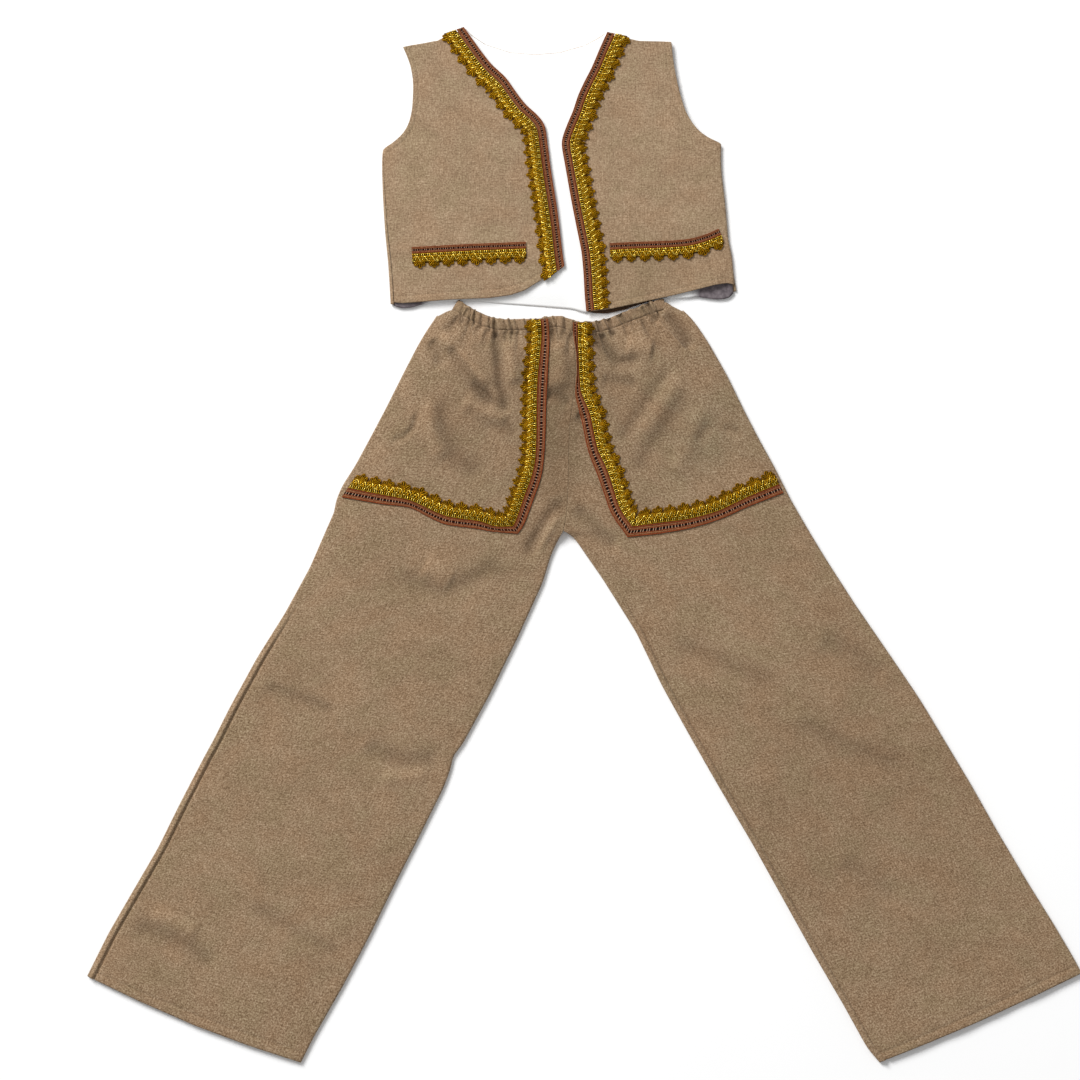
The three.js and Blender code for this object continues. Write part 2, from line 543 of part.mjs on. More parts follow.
function vestFront(side) {
  const rows = vestRows(side);
  const [hem, shoulder] = side === 'right'
    ? [RIGHT_HEM_BOW, RIGHT_SHOULDER_BOW] : [LEFT_HEM_BOW, LEFT_SHOULDER_BOW];
  const length = rows.at(-1).along;
  const bow = (u, x, row) => read(hem, u) * fade(row.along, 30) + read(shoulder, u) * fade(length - row.along, 20);
  const height = (row, x, y, u, fromSide, fromEdge) => {
    const lift = side === 'left' ? 2.6 * Math.exp(-(((x - 118) / 17) ** 2) - ((y - 236) / 12) ** 2) : 0;
    return 2 * FOLD + VEST_RISE * (1 - fade(fromSide, EDGE_SOFTNESS)) * (1 - fade(fromEdge, EDGE_SOFTNESS))
      + lift * smooth(0, 14, fromSide);
  };
  const places = [0, 0.5, ...between(1, rows.length - 1, rows.length - 2), rows.length - 1];
  return wallOf(places.map((v) => frontRow(rowAt(rows, v), evenly(9), height, bow)));
}

function vestBackRows() {
  const rows = VEST.map(([rsx, rsy, , , , , lsx, lsy], k) => {
    const [o, i] = k ? [[rsx, rsy], [lsx, lsy]] : BACK_HEM_ENDS;
    const open = k > ARMHOLE_ROW ? 1 : 0;
    return {
      o, i, fold: FOLD, wall: CLOTH, wrapO: 4.5 * (1 - smooth(0, ARMHOLE_ROW, k)), wrapI: 0, openO: open, openI: open,
    };
  });
  return withNormals(rows);
}

/** Follows the hem and the shoulder and neck line of the vest back. */
function backBow(rows) {
  const stray = (edge, row, u) => {
    const x = mix(row.o[0], row.i[0], u);
    return read(edge, x) - mix(row.o[1], row.i[1], u);
  };
  const length = rows.at(-1).along;
  return (u, x, row) => stray(BACK_HEM, rows[0], u) * fade(row.along, 20)
    + stray(BACK_TOP, rows.at(-1), u) * fade(length - row.along, 12);
}

/** Columns for a row of the vest back: as many as its hem or its neckline needs, and few between them. */
function backShares(rows, k) {
  const edge = (points, row) => points.slice(1, -1).map(([x]) => (x - row.o[0]) / (row.i[0] - row.o[0]));
  if (k === 0) return edge(BACK_HEM, rows[0]);
  if (k > rows.length - 5) return edge(BACK_TOP, rows.at(-1));
  return evenly(2);
}

function vestBack() {
  const rows = vestBackRows();
  const bow = backBow(rows);
  return wallOf(rows.map((row, k) => backRow(row, backShares(rows, k), bow)));
}

function vestLining() {
  const rows = vestBackRows();
  const bow = backBow(rows);
  return wallOf(rows.map((row, k) => {
    const inset = mix(2.6, 0.6, row.openO);
    const up = k === 0 ? 0.6 : k === rows.length - 1 ? -0.6 : 0;
    const end = (p, n) => {
      const [x, y] = [p[0] + n[0] * inset, p[1] + n[1] * inset + up];
      return { outer: { x, y, z: LINING_TOP }, inner: { x, y, z: LINING_LOW } };
    };
    return section(row, [end(row.o, row.no)], [end(row.i, row.ni)], backShares(rows, k),
      () => [LINING_TOP, LINING_LOW], bow);
  }));
}

// ---------------------------------------------------------------- braids

/** Finds how high the cloth under a braid stands, from the triangles that face up. */
function support(geometries) {
  const cell = 8;
  const bins = new Map();
  for (const geometry of geometries) {
    const corner = (k) => new THREE.Vector3().fromBufferAttribute(geometry.attributes.position, geometry.index.getX(k));
    for (let k = 0; k < geometry.index.count; k += 3) {
      const [a, b, c] = [corner(k), corner(k + 1), corner(k + 2)];
      const area = (b.x - a.x) * (c.y - a.y) - (c.x - a.x) * (b.y - a.y);
      if (area > 1e-6) {
        const low = (axis) => Math.floor(Math.min(a[axis], b[axis], c[axis]) / cell);
        const high = (axis) => Math.floor(Math.max(a[axis], b[axis], c[axis]) / cell);
        for (let i = low('x'); i <= high('x'); i += 1) {
          for (let j = low('y'); j <= high('y'); j += 1) {
            const key = `${i},${j}`;
            if (!bins.has(key)) bins.set(key, []);
            bins.get(key).push([a, b, c, area]);
          }
        }
      }
    }
  }
  const at = (x, y) => {
    let top = -Infinity;
    for (const [a, b, c, area] of bins.get(`${Math.floor(x / cell)},${Math.floor(y / cell)}`) ?? []) {
      const u = ((x - a.x) * (c.y - a.y) - (c.x - a.x) * (y - a.y)) / area;
      const v = ((b.x - a.x) * (y - a.y) - (x - a.x) * (b.y - a.y)) / area;
      if (u >= 0 && v >= 0 && u + v <= 1) top = Math.max(top, a.z + u * (b.z - a.z) + v * (c.z - a.z));
    }
    return top;
  };
  return (x, y, reach) => {
    let top = at(x, y);
    for (let k = 0; k < 8; k += 1) {
      for (const r of [reach / 2, reach]) {
        top = Math.max(top, at(x + r * Math.cos((k * Math.PI) / 4), y + r * Math.sin((k * Math.PI) / 4)));
      }
    }
    return top;
  };
}

/** A line that a braid follows. place(a, d) is a length along it and a distance to the gold side of it. */
function run(points, side, startSkew, endSkew) {
  const curve = line(points);
  const length = curve.getLength();
  const widths = points.map(([x, y, w], k) => [k / (points.length - 1), w]);
  const place = (a, d) => {
    const s = a + d * startSkew * Math.max(0, 1 - a / CORNER_REACH)
      + d * endSkew * Math.max(0, 1 - (length - a) / CORNER_REACH);
    const share = THREE.MathUtils.clamp(s / length, 0, 1);
    const [p, t] = [curve.getPointAt(share), curve.getTangentAt(share)];
    const past = s - share * length;
    return [p.x + t.x * past - t.y * side * d, p.y + t.y * past + t.x * side * d];
  };
  const width = (a) => read(widths, curve.getUtoTmapping(a / length));
  return { length, place, width };
}

/** Stations along a run at whole steps of a pitch, without its last point when another run follows. */
function stations(path, pitch, perPitch, joined) {
  const count = Math.round(path.length / pitch) * perPitch;
  return Array.from({ length: joined ? count : count + 1 }, (_, k) => ({ path, a: (path.length * k) / count, k }));
}

/** A braid: for each station the distances across it, and above each of them the height of its top. */
function braid(places, across, over) {
  const outer = [];
  const inner = [];
  places.forEach((station) => {
    const columns = across(station);
    const points = columns.map(([d, top], n) => {
      const [x, y] = station.path.place(station.a, d);
      return { x, y, z: over(x, y, station.reach ?? 3), top, t: n / (columns.length - 1) };
    });
    outer.push(points.map(({ x, y, z, top, t }) => ({ x, y, z: z + GAP + top, t })));
    inner.push(points.map(({ x, y, z, t }) => ({ x, y, z: z + GAP, t })));
  });
  return closedWall(outer, inner);
}

const goldAcross = (from, depth) => ({ k }) => {
  const out = k % 2 ? depth : depth - (GOLD_DEPTH - GOLD_VALLEY);
  return [[from, 1.5], [from + depth * 0.45, 2.1], [from + out, 1.2]];
};

// ---------------------------------------------------------------- the set

const set = new THREE.Group();
set.name = 'vest_and_trousers_set';
function add(name, geometry, colour, roughness = 0.9) {
  const mesh = new THREE.Mesh(geometry, new THREE.MeshStandardMaterial({ color: colour, roughness }));
  mesh.name = name;
  mesh.material.name = name;
  set.add(mesh);
  return geometry;
}

const trousersTop = [add('waistband', waistband(), BAND_COLOUR)];
for (const side of ['right', 'left']) {
  trousersTop.push(add(`trousers_front_${side}`, trouserFront(side), CLOTH_COLOUR));
  add(`trousers_back_${side}`, trouserBack(side), CLOTH_COLOUR);
}
const overTrousers = support(trousersTop);
for (const side of ['right', 'left']) {
  const trim = TROUSER_TRIM[side];
  const hand = side === 'right' ? -1 : 1;
  const down = run(trim.down, hand, 0, -0.98);
  const across = run(trim.across, hand, 0.98, trim.slant);
  const gold = [...stations(down, DOWN_PITCH, 2, true), ...stations(across, ACROSS_PITCH, 2, false)];
  add(`gold_braid_trousers_${side}`, braid(gold, goldAcross(0.2, GOLD_DEPTH), overTrousers), GOLD_COLOUR, 0.5);
  const brown = [...stations(down, DOWN_PITCH * 0.8, 1, true), ...stations(across, ACROSS_PITCH * 0.75, 1, false)];
  const brownAcross = ({ path, a }) => [[-path.width(a), 1.3], [-0.3, 1.3]];
  add(`brown_braid_trousers_${side}`, braid(brown, brownAcross, overTrousers), BROWN_COLOUR, 0.7);
}

for (const side of ['right', 'left']) {
  const hand = side === 'right' ? 1 : -1;
  const overVest = support([add(`vest_front_${side}`, vestFront(side), CLOTH_COLOUR)]);
  const edge = run(vestRows(side).map(({ i }) => i), hand, EDGE_TRIM[side].hem, EDGE_TRIM[side].shoulder);
  const inside = ({ path, a, ...rest }) => ({ path, a: mix(1, path.length - 1.2, a / path.length), ...rest });
  add(`gold_braid_vest_${side}`, braid(stations(edge, EDGE_PITCH, 2, false).map(inside),
    goldAcross(EDGE_BROWN + 0.6, GOLD_DEPTH), overVest), GOLD_COLOUR, 0.5);
  add(`brown_braid_vest_${side}`, braid(stations(edge, EDGE_PITCH, 1, false).map(inside),
    () => [[0.5, 1.3], [EDGE_BROWN, 1.3]], overVest), BROWN_COLOUR, 0.7);
  const pocket = run(POCKET_TOP[side], -1, 0, 0);
  add(`gold_braid_pocket_${side}`, braid(stations(pocket, POCKET_PITCH, 2, false),
    goldAcross(POCKET_BROWN + 0.3, POCKET_DEPTH[side]), overVest), GOLD_COLOUR, 0.5);
  add(`brown_braid_pocket_${side}`, braid(stations(pocket, POCKET_PITCH, 1, false),
    () => [[0, 1.3], [POCKET_BROWN, 1.3]], overVest), BROWN_COLOUR, 0.7);
}
add('vest_back', vestBack(), CLOTH_COLOUR);
add('vest_back_lining', vestLining(), LINING_COLOUR);

export default set;
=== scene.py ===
# A child's open vest and wide gathered trousers, laid flat as one set on a pale floor.
# Tables are in mm, in the frame of the solids; everything is scaled to metres when its mesh is made.
# Right and left are the wearer's, so the right half of each garment lies on the -X side.
import math
import bpy
import numpy as np
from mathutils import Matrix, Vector
from mathutils.bvhtree import BVHTree


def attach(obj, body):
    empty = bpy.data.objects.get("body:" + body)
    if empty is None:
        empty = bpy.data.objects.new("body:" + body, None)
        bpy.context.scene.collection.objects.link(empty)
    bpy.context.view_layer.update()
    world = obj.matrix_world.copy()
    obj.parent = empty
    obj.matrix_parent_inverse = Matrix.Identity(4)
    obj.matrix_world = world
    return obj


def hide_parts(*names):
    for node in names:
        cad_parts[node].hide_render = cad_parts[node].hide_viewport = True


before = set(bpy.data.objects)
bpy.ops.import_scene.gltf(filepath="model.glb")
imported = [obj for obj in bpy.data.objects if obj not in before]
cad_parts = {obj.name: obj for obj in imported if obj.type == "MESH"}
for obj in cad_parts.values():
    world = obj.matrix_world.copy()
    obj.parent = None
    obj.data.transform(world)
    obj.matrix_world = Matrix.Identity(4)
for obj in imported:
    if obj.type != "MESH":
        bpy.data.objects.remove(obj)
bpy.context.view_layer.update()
MM = 0.001

CLOTH = 0.7  # thickness of the trouser cloth
VEST_THICK = 0.9  # the vest's cloth
THIN = 0.5  # the gathered cloth of the casing, and the lining
FOLD = 2.0  # outer radius of a side edge, where front and back cloth meet
HIP_FOLD = 1.25  # the same at the waist
HIP_RISE = 3.3  # how far the front cloth stands up between its edges: at the hips,
LEG_RISE = 1.1  # on the legs
VEST_RISE = 1.0  # and on the vest
EDGE_SOFTNESS = 18  # how far from an edge the cloth is still rising
LOWEST_TOP = 2.3  # creases sink the front cloth no lower than this
ON_FLOOR = 0.12  # height of cloth that lies on the floor
BAND_HALF = 5.6  # half the height of the casing
BAND_WALL = 3.0  # thickness of its front and of its back, with the elastic
BAND_SPLIT = 0.4  # space between the two
CASING_FACE = 5.9  # height at which the trouser cloth runs into it
SEAM_DOWN = BAND_HALF - 1.3  # the cloth's upper edge is this far below the casing's middle
GOLD_DEPTH = 15.5  # width of the gold lace with its tips
CORNER_REACH = 40  # how far from a corner the braid's threads slant
MITRE = 0.63  # tangent of half the angle that the trouser braids turn at their corners

# right outer x, y, centre seam x, y, left outer x, y: waist to crotch
HIPS = [
    (-132.8, 206.8, -12.2, 191.3, 88.9, 211.4),
    (-137.1, 200.2, -10.4, 184.5, 93.8, 206.6),
    (-141.8, 193.5, -8.6, 173.7, 98.6, 201.6),
    (-149.9, 180.0, -7.7, 159.3, 110.3, 184.5),
    (-164.3, 152.1, -9.5, 135.0, 128.3, 153.0),
    (-178.7, 123.3, -13.1, 108.0, 142.7, 123.3),
    (-193.0, 96.3, -14.0, 81.0, 156.6, 96.3),
    (-206.6, 71.1, -14.4, 56.7, 170.6, 71.1),
    (-218.3, 53.1, -15.3, 36.0, 180.5, 51.3),
    (-223.7, 40.5, -16.7, 22.5, 185.9, 40.5),
    (-225.5, 29.7, -18.9, 12.6, 192.2, 29.7),
]
# right outer x, y, right inner x, y, left inner x, y, left outer x, y: below the crotch to the hem
LEGS = [
    (-230.5, 18.4, -25.5, 1.3, -9.5, 7.0, 198.5, 18.9),
    (-235.4, 7.2, -30.6, -10.4, -0.5, -6.3, 204.8, 8.1),
    (-247.0, -19.8, -37.4, -33.4, 15.8, -29.7, 217.4, -12.6),
    (-269.6, -61.2, -59.9, -82.9, 46.4, -78.3, 243.5, -53.1),
    (-295.0, -101.7, -85.1, -134.2, 69.8, -126.9, 271.4, -93.6),
    (-318.2, -144.0, -110.0, -179.8, 96.8, -175.5, 297.6, -132.2),
    (-325.4, -158.0, -118.5, -190.2, 105.2, -190.1, 305.6, -144.7),
    (-332.6, -172.8, -120.5, -201.4, 113.5, -204.7, 313.2, -157.4),
    (-342.5, -190.8, -126.9, -218.7, 124.7, -224.1, 323.3, -174.3),
    (-364.0, -232.2, -150.8, -266.5, 151.7, -270.0, 348.2, -215.9),
    (-384.0, -272.7, -172.4, -308.8, 178.7, -318.6, 371.9, -257.9),
    (-405.5, -309.6, -193.1, -351.1, 205.7, -367.2, 398.3, -302.4),
    (-428.4, -349.2, -217.4, -397.0, 233.6, -414.9, 423.5, -342.9),
    (-439.7, -371.7, -243.9, -443.3, 254.6, -453.0, 437.9, -367.2),
    (-447.8, -388.0, -255.4, -466.2, 266.0, -466.2, 447.8, -385.2),
]
# right side x, y, right front edge x, y, left front edge x, y, left side x, y: hem to shoulder
VEST = [
    (-174.6, 218.7, -18.0, 251.1, 1.4, 210.2, 135.0, 234.5),
    (-175.5, 234.0, -19.8, 263.7, 0.0, 224.1, 134.1, 245.7),
    (-176.9, 254.7, -22.0, 283.5, -0.9, 243.0, 132.8, 260.1),
    (-179.6, 281.7, -24.8, 305.1, -2.7, 263.7, 129.6, 274.5),
    (-181.4, 310.5, -28.4, 326.7, -6.8, 283.5, 128.3, 290.7),
    (-181.85, 323.1, -29.8, 335.7, -11.3, 306.0, 126.5, 310.5),
    (-182.3, 335.7, -31.1, 344.7, -15.3, 328.5, 123.8, 332.1),
    (-182.3, 349.2, -32.4, 355.5, -18.0, 343.8, 122.9, 346.5),
    (-181.4, 356.0, -33.3, 361.8, -19.8, 353.7, 123.2, 361.2),
    (-175.0, 360.5, -33.8, 367.2, -21.2, 360.0, 120.2, 363.3),
    (-168.8, 365.0, -34.7, 372.6, -20.3, 366.3, 112.2, 365.8),
    (-162.5, 371.3, -35.6, 378.9, -18.0, 372.6, 103.1, 372.6),
    (-158.0, 379.8, -41.9, 387.0, -14.9, 380.7, 96.3, 380.7),
    (-155.3, 391.5, -52.7, 396.0, -10.4, 390.6, 90.5, 391.5),
    (-154.4, 405.9, -61.7, 407.7, -6.3, 404.1, 86.4, 405.0),
    (-154.4, 418.5, -70.7, 421.2, 0.0, 417.6, 83.3, 418.5),
    (-156.6, 431.1, -84.2, 432.9, 6.3, 429.3, 80.6, 432.0),
    (-159.8, 440.1, -95.0, 447.3, 13.0, 445.5, 79.2, 443.7),
    (-163.4, 448.2, -108.5, 466.2, 20.3, 461.7, 78.3, 452.7),
]
ARMHOLE_ROW = 8  # row of the table at which the side seam ends and the armhole begins
BACK_HEM_ENDS = ((-174.6, 216.9), (136.8, 228.6))
# how far an edge strays from the straight line between its ends: share of its length, offset
HEM_BOW = {
    "right": [(0, 0), (0.17, -4.1), (0.34, -7.9), (0.57, -14.5), (0.69, -16), (0.77, -14.6),
        (0.86, -9), (1, 0)],
    "left": [(0, 0), (0.05, 1.7), (0.13, 2), (0.4, 0), (0.82, -1.4), (1, 0)],
}
SHOULDER_BOW = {
    "right": [(0, 0), (0.3, -2), (0.56, -3.4), (0.67, -1.8), (1, 0)],
    "left": [(0, 0), (0.5, -2.8), (1, 0)],
}
LEG_HEM_BOW = {
    "right": [(0, 0), (0.25, -3.4), (0.5, -5), (0.75, -3.6), (1, 0)],
    "left": [(0, 0), (0.25, -1.8), (0.5, -2.6), (0.75, -1.8), (1, 0)],
}
# x, y along the lower and the upper edge of the vest back
BACK_HEM = [
    (-174.6, 216.9), (-168, 214.6), (-158, 215.2), (-150, 217.6), (-140, 220.5), (-113, 221), (-98, 221),
    (-75, 219), (-40, 216.5), (-10, 214), (6, 209.5), (20, 208.6), (36, 212), (45, 215.2), (55, 218.4),
    (62, 220.2), (70, 222.9), (95, 224.8), (103, 225.5), (114, 223.8), (123, 222.9), (132, 224),
        (136.8, 228.6),
]
# x where the back's turned up hem, its colour painted dark as shade, begins to show below the left front,
# shows fully, and ends again
SHADED_HEM_SPAN = (2, 9, 66, 78)
BACK_TOP = [
    (-163.4, 448.2), (-146.3, 451.8), (-132.8, 454.8), (-126.5, 458.5), (-115.7, 463.3), (-108.5, 466.2),
    (-103.1, 459.9), (-89.6, 450.9), (-67.1, 443.7), (-44.6, 441.9), (-22.1, 443.7), (0.5, 450), (14, 457.2),
    (20.3, 461.7), (25.7, 460.8), (39.2, 456.3), (50, 453.2), (59, 452.7), (78.3, 452.7),
]
# x, y along the middle of the waistband
BAND_LINE = [
    (-115.2, 215.4), (-111.2, 212.8), (-104, 208.2), (-95, 203.8), (-85, 199.8), (-73.4, 197.9), (-58, 198),
    (-40, 198.5), (-25.7, 200.7), (-14.9, 198.5), (-4, 195.3), (11.3, 196.2), (23, 198.9), (35.6, 203.9),
    (50, 209.3), (58.9, 212.6), (66.2, 215.1), (71.1, 216.4),
]
DRAWN_IN = 1.9  # mm of the casing's flat cloth for each mm of the gathered casing
GATHERS = [(0, 0), (80, 12), (95, 14), (118, 17), (135, 19), (198, 26)]  # length along it, gathers so far
# how far the valley between two gathers runs down into the cloth, and how far it leans on the way
GATHER_VALLEYS = [
    (24, 4), (12, 3), (30, 5), (15, 1), (21, 2), (11, 0), (27, 3), (14, -1), (22, 1), (10, 0),
    (18, 2), (13, 0),
    (20, -2), (12, 1), (16, 2), (26, 5), (14, 2), (23, 6), (34, 8), (13, 3), (28, 7), (16, 2),
    (38, 9), (15, 1),
    (25, -3),
]
# x, y along the top of the hips beside the casing
HIP_TOP = {
    "right": [(-132.8, 206.8), (-126.0, 210.4), (-121.5, 212.0), (-119.2, 212.4)],
    "left": [(73.0, 219.4), (75.2, 219.0), (79.5, 216.0), (83.7, 214.0), (88.9, 211.4)],
}
CREASE_DEPTH = 1.65  # mm for each unit of height in the tables of creases
WAVINESS = 1.5  # the same for the slow waves

# height (+ ridge, - valley), half width, then x, y along the crease
CREASES = [
    (-1.5, 5, (-139, 186), (-131, 172), (-130, 158)),
    (-2.2, 5, (-122, 180), (-113.4, 166.5), (-97.6, 142.6), (-80, 122)),
    (2.1, 6, (-131, 193), (-115, 175), (-99.3, 158.4), (-84, 140)),
    (-2.4, 4.5, (-80.5, 198), (-78, 175), (-75, 142), (-68, 118)),
    (2.0, 7, (-68.9, 186.3), (-65.3, 162), (-61.7, 144)),
    (-1.9, 9, (-131, 139), (-125.1, 99.9), (-113, 75.6), (-88, 58)),
    (-1.8, 4, (-102, 150), (-82, 129), (-66, 119)),
    (1.6, 8, (-137.3, 135), (-136.4, 103.5), (-125.6, 74.7)),
    (-1.0, 7, (-110, 124), (-86, 107), (-56, 100)),
    (1.6, 7, (-110.3, 132.3), (-89.6, 118.8), (-67.1, 112.5)),
    (-2.1, 5.5, (12, 195), (18, 179), (30.5, 164.7), (54, 166)),
    (1.8, 10, (36.5, 180), (63.5, 175.5)),
    (-1.0, 6, (81.5, 164.7), (62.6, 137.7), (41, 105.3), (30.2, 89.1)),
    (1.0, 8, (90.5, 155.7), (69.8, 125.1), (50, 94.5)),
    (-1.2, 8, (95, 140.4), (76.1, 110.7), (57.2, 83.7), (49.1, 62.1)),
    (1.2, 9, (109.4, 132.3), (95, 94.5), (78.8, 58.5)),
    (2.6, 9, (-22, 186), (-20.3, 162), (-22, 139)),
    (-1.6, 6, (-16.7, 42.3), (-31, 25.2), (-43.7, 6.3), (-52.7, -13.5)),
    (-1.6, 6, (-9.5, 36), (5, 20.7), (19.4, 4.5), (32, -2.7)),
    (-1.4, 9, (-176.9, -22.5), (-148, -37.8), (-125.6, -43.2), (-103, -33.3), (-83.3, -22.5), (-56.3, -40.5)),
    (-1.4, 9, (-200.3, -179.1), (-166, -196.2), (-125.6, -193.5)),
    (-1.4, 9, (-407.3, -340.2), (-367.7, -357.3), (-327.2, -380.7)),
    (-2.4, 5.5, (70, 212), (84, 197), (91, 187), (96, 174)),
    (1.2, 1.6, (60, 207), (78, 189), (96, 170)),
    (-0.9, 5, (-106, 204), (-118, 200), (-127, 190)),
    # smaller ones
    (-1.2, 2.5, (-150.8, 121.5), (-153.5, 105.3), (-162.5, 97.2), (-175, 93.6)),
    (-1, 5, (113.9, 110.7), (100.4, 91.8)),
    (-1, 3, (124.7, 105.3), (140.9, 101.7)),
    (-1.2, 5, (14, 148.5), (49.1, 143.1)),
    (-2.2, 4, (-35.6, 136.8), (-22, 133.2), (-12.2, 126)),
    (-1.5, 4, (-6.8, 117.9), (-0.5, 108.9)),
    (1.2, 4, (-22, 29.7), (-32, 13.5), (-40, -6.3)),
    (1.0, 10, (-146, -18), (-116, -32)),
    (-1.3, 6, (-290.3, -126.9), (-257.9, -138.6), (-217.4, -153)),
    (1.0, 7, (-184, -209.7), (-139, -207)),
    (1.0, 8, (-391, -330.3), (-346, -351)),
    (-1.0, 7, (-303.8, -323.1), (-256, -351), (-212, -374.4)),
    (-1.2, 10, (209.3, -86.4), (243.5, -99), (273.2, -121.5)),
    (-1.2, 10, (185.9, -155.7), (239, -184.5), (295.7, -201.6)),
    (-1.0, 9, (77, -86.4), (126.5, -108), (180.5, -132.3)),
    (-0.8, 9, (230, -283.5), (284, -319.5)),
]

# the same for sharp pleats that run from the casing into the cloth below it
PLEATS = [
    (-2.6, 2.0, (55.8, 220), (58.5, 214), (62, 207.5), (67, 199)),
    (-1.8, 1.6, (51, 215), (55.5, 209), (59, 204)),
    (-2.6, 2.1, (27, 211), (32, 207), (37, 200), (41, 196)),
    (-2.4, 1.9, (18.5, 206), (22, 202), (24.8, 194), (27.5, 187)),
    (-2.4, 1.9, (11, 204), (12.6, 200), (14.5, 192), (17.5, 184)),
    (-1.8, 1.8, (-83, 202), (-80.5, 195), (-79, 184)),
    (-1.8, 1.8, (-104, 214), (-108, 206), (-112, 197)),
]

# x, y of the line where gold meets brown, then the width of the brown braid at that point
TROUSER_TRIM = {
    "right": {
        "down": [(-39.2, 203.2, 6.3), (-38.3, 189, 6.5), (-42, 146.7, 8.6), (-42.8, 114.3, 7.9),
                 (-42.8, 103.5, 7.7),
                 (-44.1, 76.5, 7.3), (-46.9, 63, 8), (-55, 40.5, 8.4), (-61.1, 22.5, 7.4), (-64, 16.4, 6.2)],
        "across": [(-64, 16.4, 6.2), (-80.6, 16.6, 4.4), (-94.1, 20.9, 6.6), (-124.7, 25.8, 6.9),
                   (-149.6, 36.7, 5.6),
                   (-158, 40.1, 6), (-182.9, 45, 8), (-213.2, 51.2, 9)],
        "slant": -0.39,
    },
    "left": {
        "down": [(-6.3, 200.4, 4.2), (-6.3, 189, 3.9), (-5.6, 172, 1.8), (-5, 155, 1.8), (-3.2, 136.8, 5.2),
                 (3.2, 121.5, 8.4), (5.4, 114.3, 8.5), (7.6, 103.5, 8.5), (11.8, 85.5, 8.4),
                 (19.9, 67.5, 9.6),
                 (26, 49.5, 9.2), (32.2, 31.5, 8.6), (42.6, 16.4, 8.6)],
        "across": [(42.6, 16.4, 8.6), (68, 19.8, 9.6), (95, 23.5, 8), (120.2, 30.4, 7), (139.1, 39.2, 7.4),
                   (151.7, 45, 8), (175.4, 54.6, 8.4)],
        "slant": -0.05,
    },
}
# width of one scallop of the gold lace, by where it is sewn
DOWN_PITCH = 11.2
ACROSS_PITCH = 13.9
EDGE_PITCH = 10.2
POCKET_PITCH = 13
# pitch of the brown braid's bars
TROUSER_BARS = 2.7
VEST_BARS = 2.1
EDGE_BROWN = 6.8  # width of the brown braid at the front edges
EDGE_TRIM = {"right": (-0.58, 0.3), "left": (0.04, 0.22)}  # how its two ends slant
POCKET_TOP = {
    "right": [(-155.6, 267.9), (-104, 270.6), (-52.7, 272.7)],
    "left": [(22.5, 271.4), (45, 272.5), (76, 273.6), (95.4, 275.6), (107, 278.7), (120.8, 284.4)],
}
POCKET_BROWN = 5.6
POCKET_DEPTH = {"right": 13.5, "left": 11.9}
HAND = {"right": -1, "left": 1}  # the side on which the gold lies, for a trouser braid


def smooth(low, high, x):
    """0 at low and 1 at high, with a soft change between them."""
    t = np.clip((np.asarray(x, float) - low) / (high - low), 0, 1)
    return t * t * (3 - 2 * t)


def fade(distance, reach):
    """1 at no distance, and dying away over the reach."""
    return np.exp(-np.asarray(distance, float) / reach)


def read(table, at):
    """Straight-line reading of a table of (position, value)."""
    table = np.array(table, float)
    return np.interp(at, table[:, 0], table[:, 1])


def points_of(table, k):
    """The k-th pair of x, y in each row."""
    return [row[2 * k:2 * k + 2] for row in table]


def xyz(x, y, z):
    return np.stack(np.broadcast_arrays(x, y, z), -1)


def length_along(points):
    """How far along a line of points each of them is."""
    return np.concatenate([[0], np.cumsum(np.linalg.norm(np.diff(points, axis=0), axis=1))])


# ---------------------------------------------------------------- meshes

def make_object(name, verts, faces, uvs, looks, face_looks=None):
    """A mesh object from points in mm. uvs has one pair, in metres, for each corner of each face."""
    mesh = bpy.data.meshes.new(name)
    mesh.from_pydata((verts * MM).tolist(), [], faces.tolist())
    for look in looks:
        mesh.materials.append(look)
    if face_looks is not None:
        mesh.polygons.foreach_set("material_index", face_looks.astype(np.int32))
    mesh.uv_layers.new(name="cloth").data.foreach_set("uv", uvs.astype(np.float32).ravel())
    mesh.polygons.foreach_set("use_smooth", [True] * len(mesh.polygons))
    mesh.update()
    obj = bpy.data.objects.new(name, mesh)
    bpy.context.scene.collection.objects.link(obj)
    return obj


def cloth_object(name, mesh, thickness, *looks, face_looks=None):
    obj = make_object(name, *mesh, looks, face_looks)
    shell = obj.modifiers.new("cloth thickness", "SOLIDIFY")
    shell.thickness = thickness * MM
    shell.offset = -1
    return obj


def grid_faces(rows, columns, closed_columns=False, closed_rows=False):
    """Four-sided faces between the points of a grid, numbered row by row."""
    r = np.arange(rows if closed_rows else rows - 1)
    c = np.arange(columns if closed_columns else columns - 1)
    r, c = np.meshgrid(r, c, indexing="ij")
    r1, c1 = (r + 1) % rows, (c + 1) % columns
    corners = (r * columns + c, r * columns + c1, r1 * columns + c1, r1 * columns + c)
    return np.stack(corners, -1).reshape(-1, 4)


def tree_of(skins):
    """Finds the top of several (verts, faces, uvs) skins, in mm."""
    verts, faces = [], []
    for v, f, _ in skins:
        faces += (f + len(verts)).tolist()
        verts += v.tolist()
    return BVHTree.FromPolygons(verts, faces)


# ---------------------------------------------------------------- panels

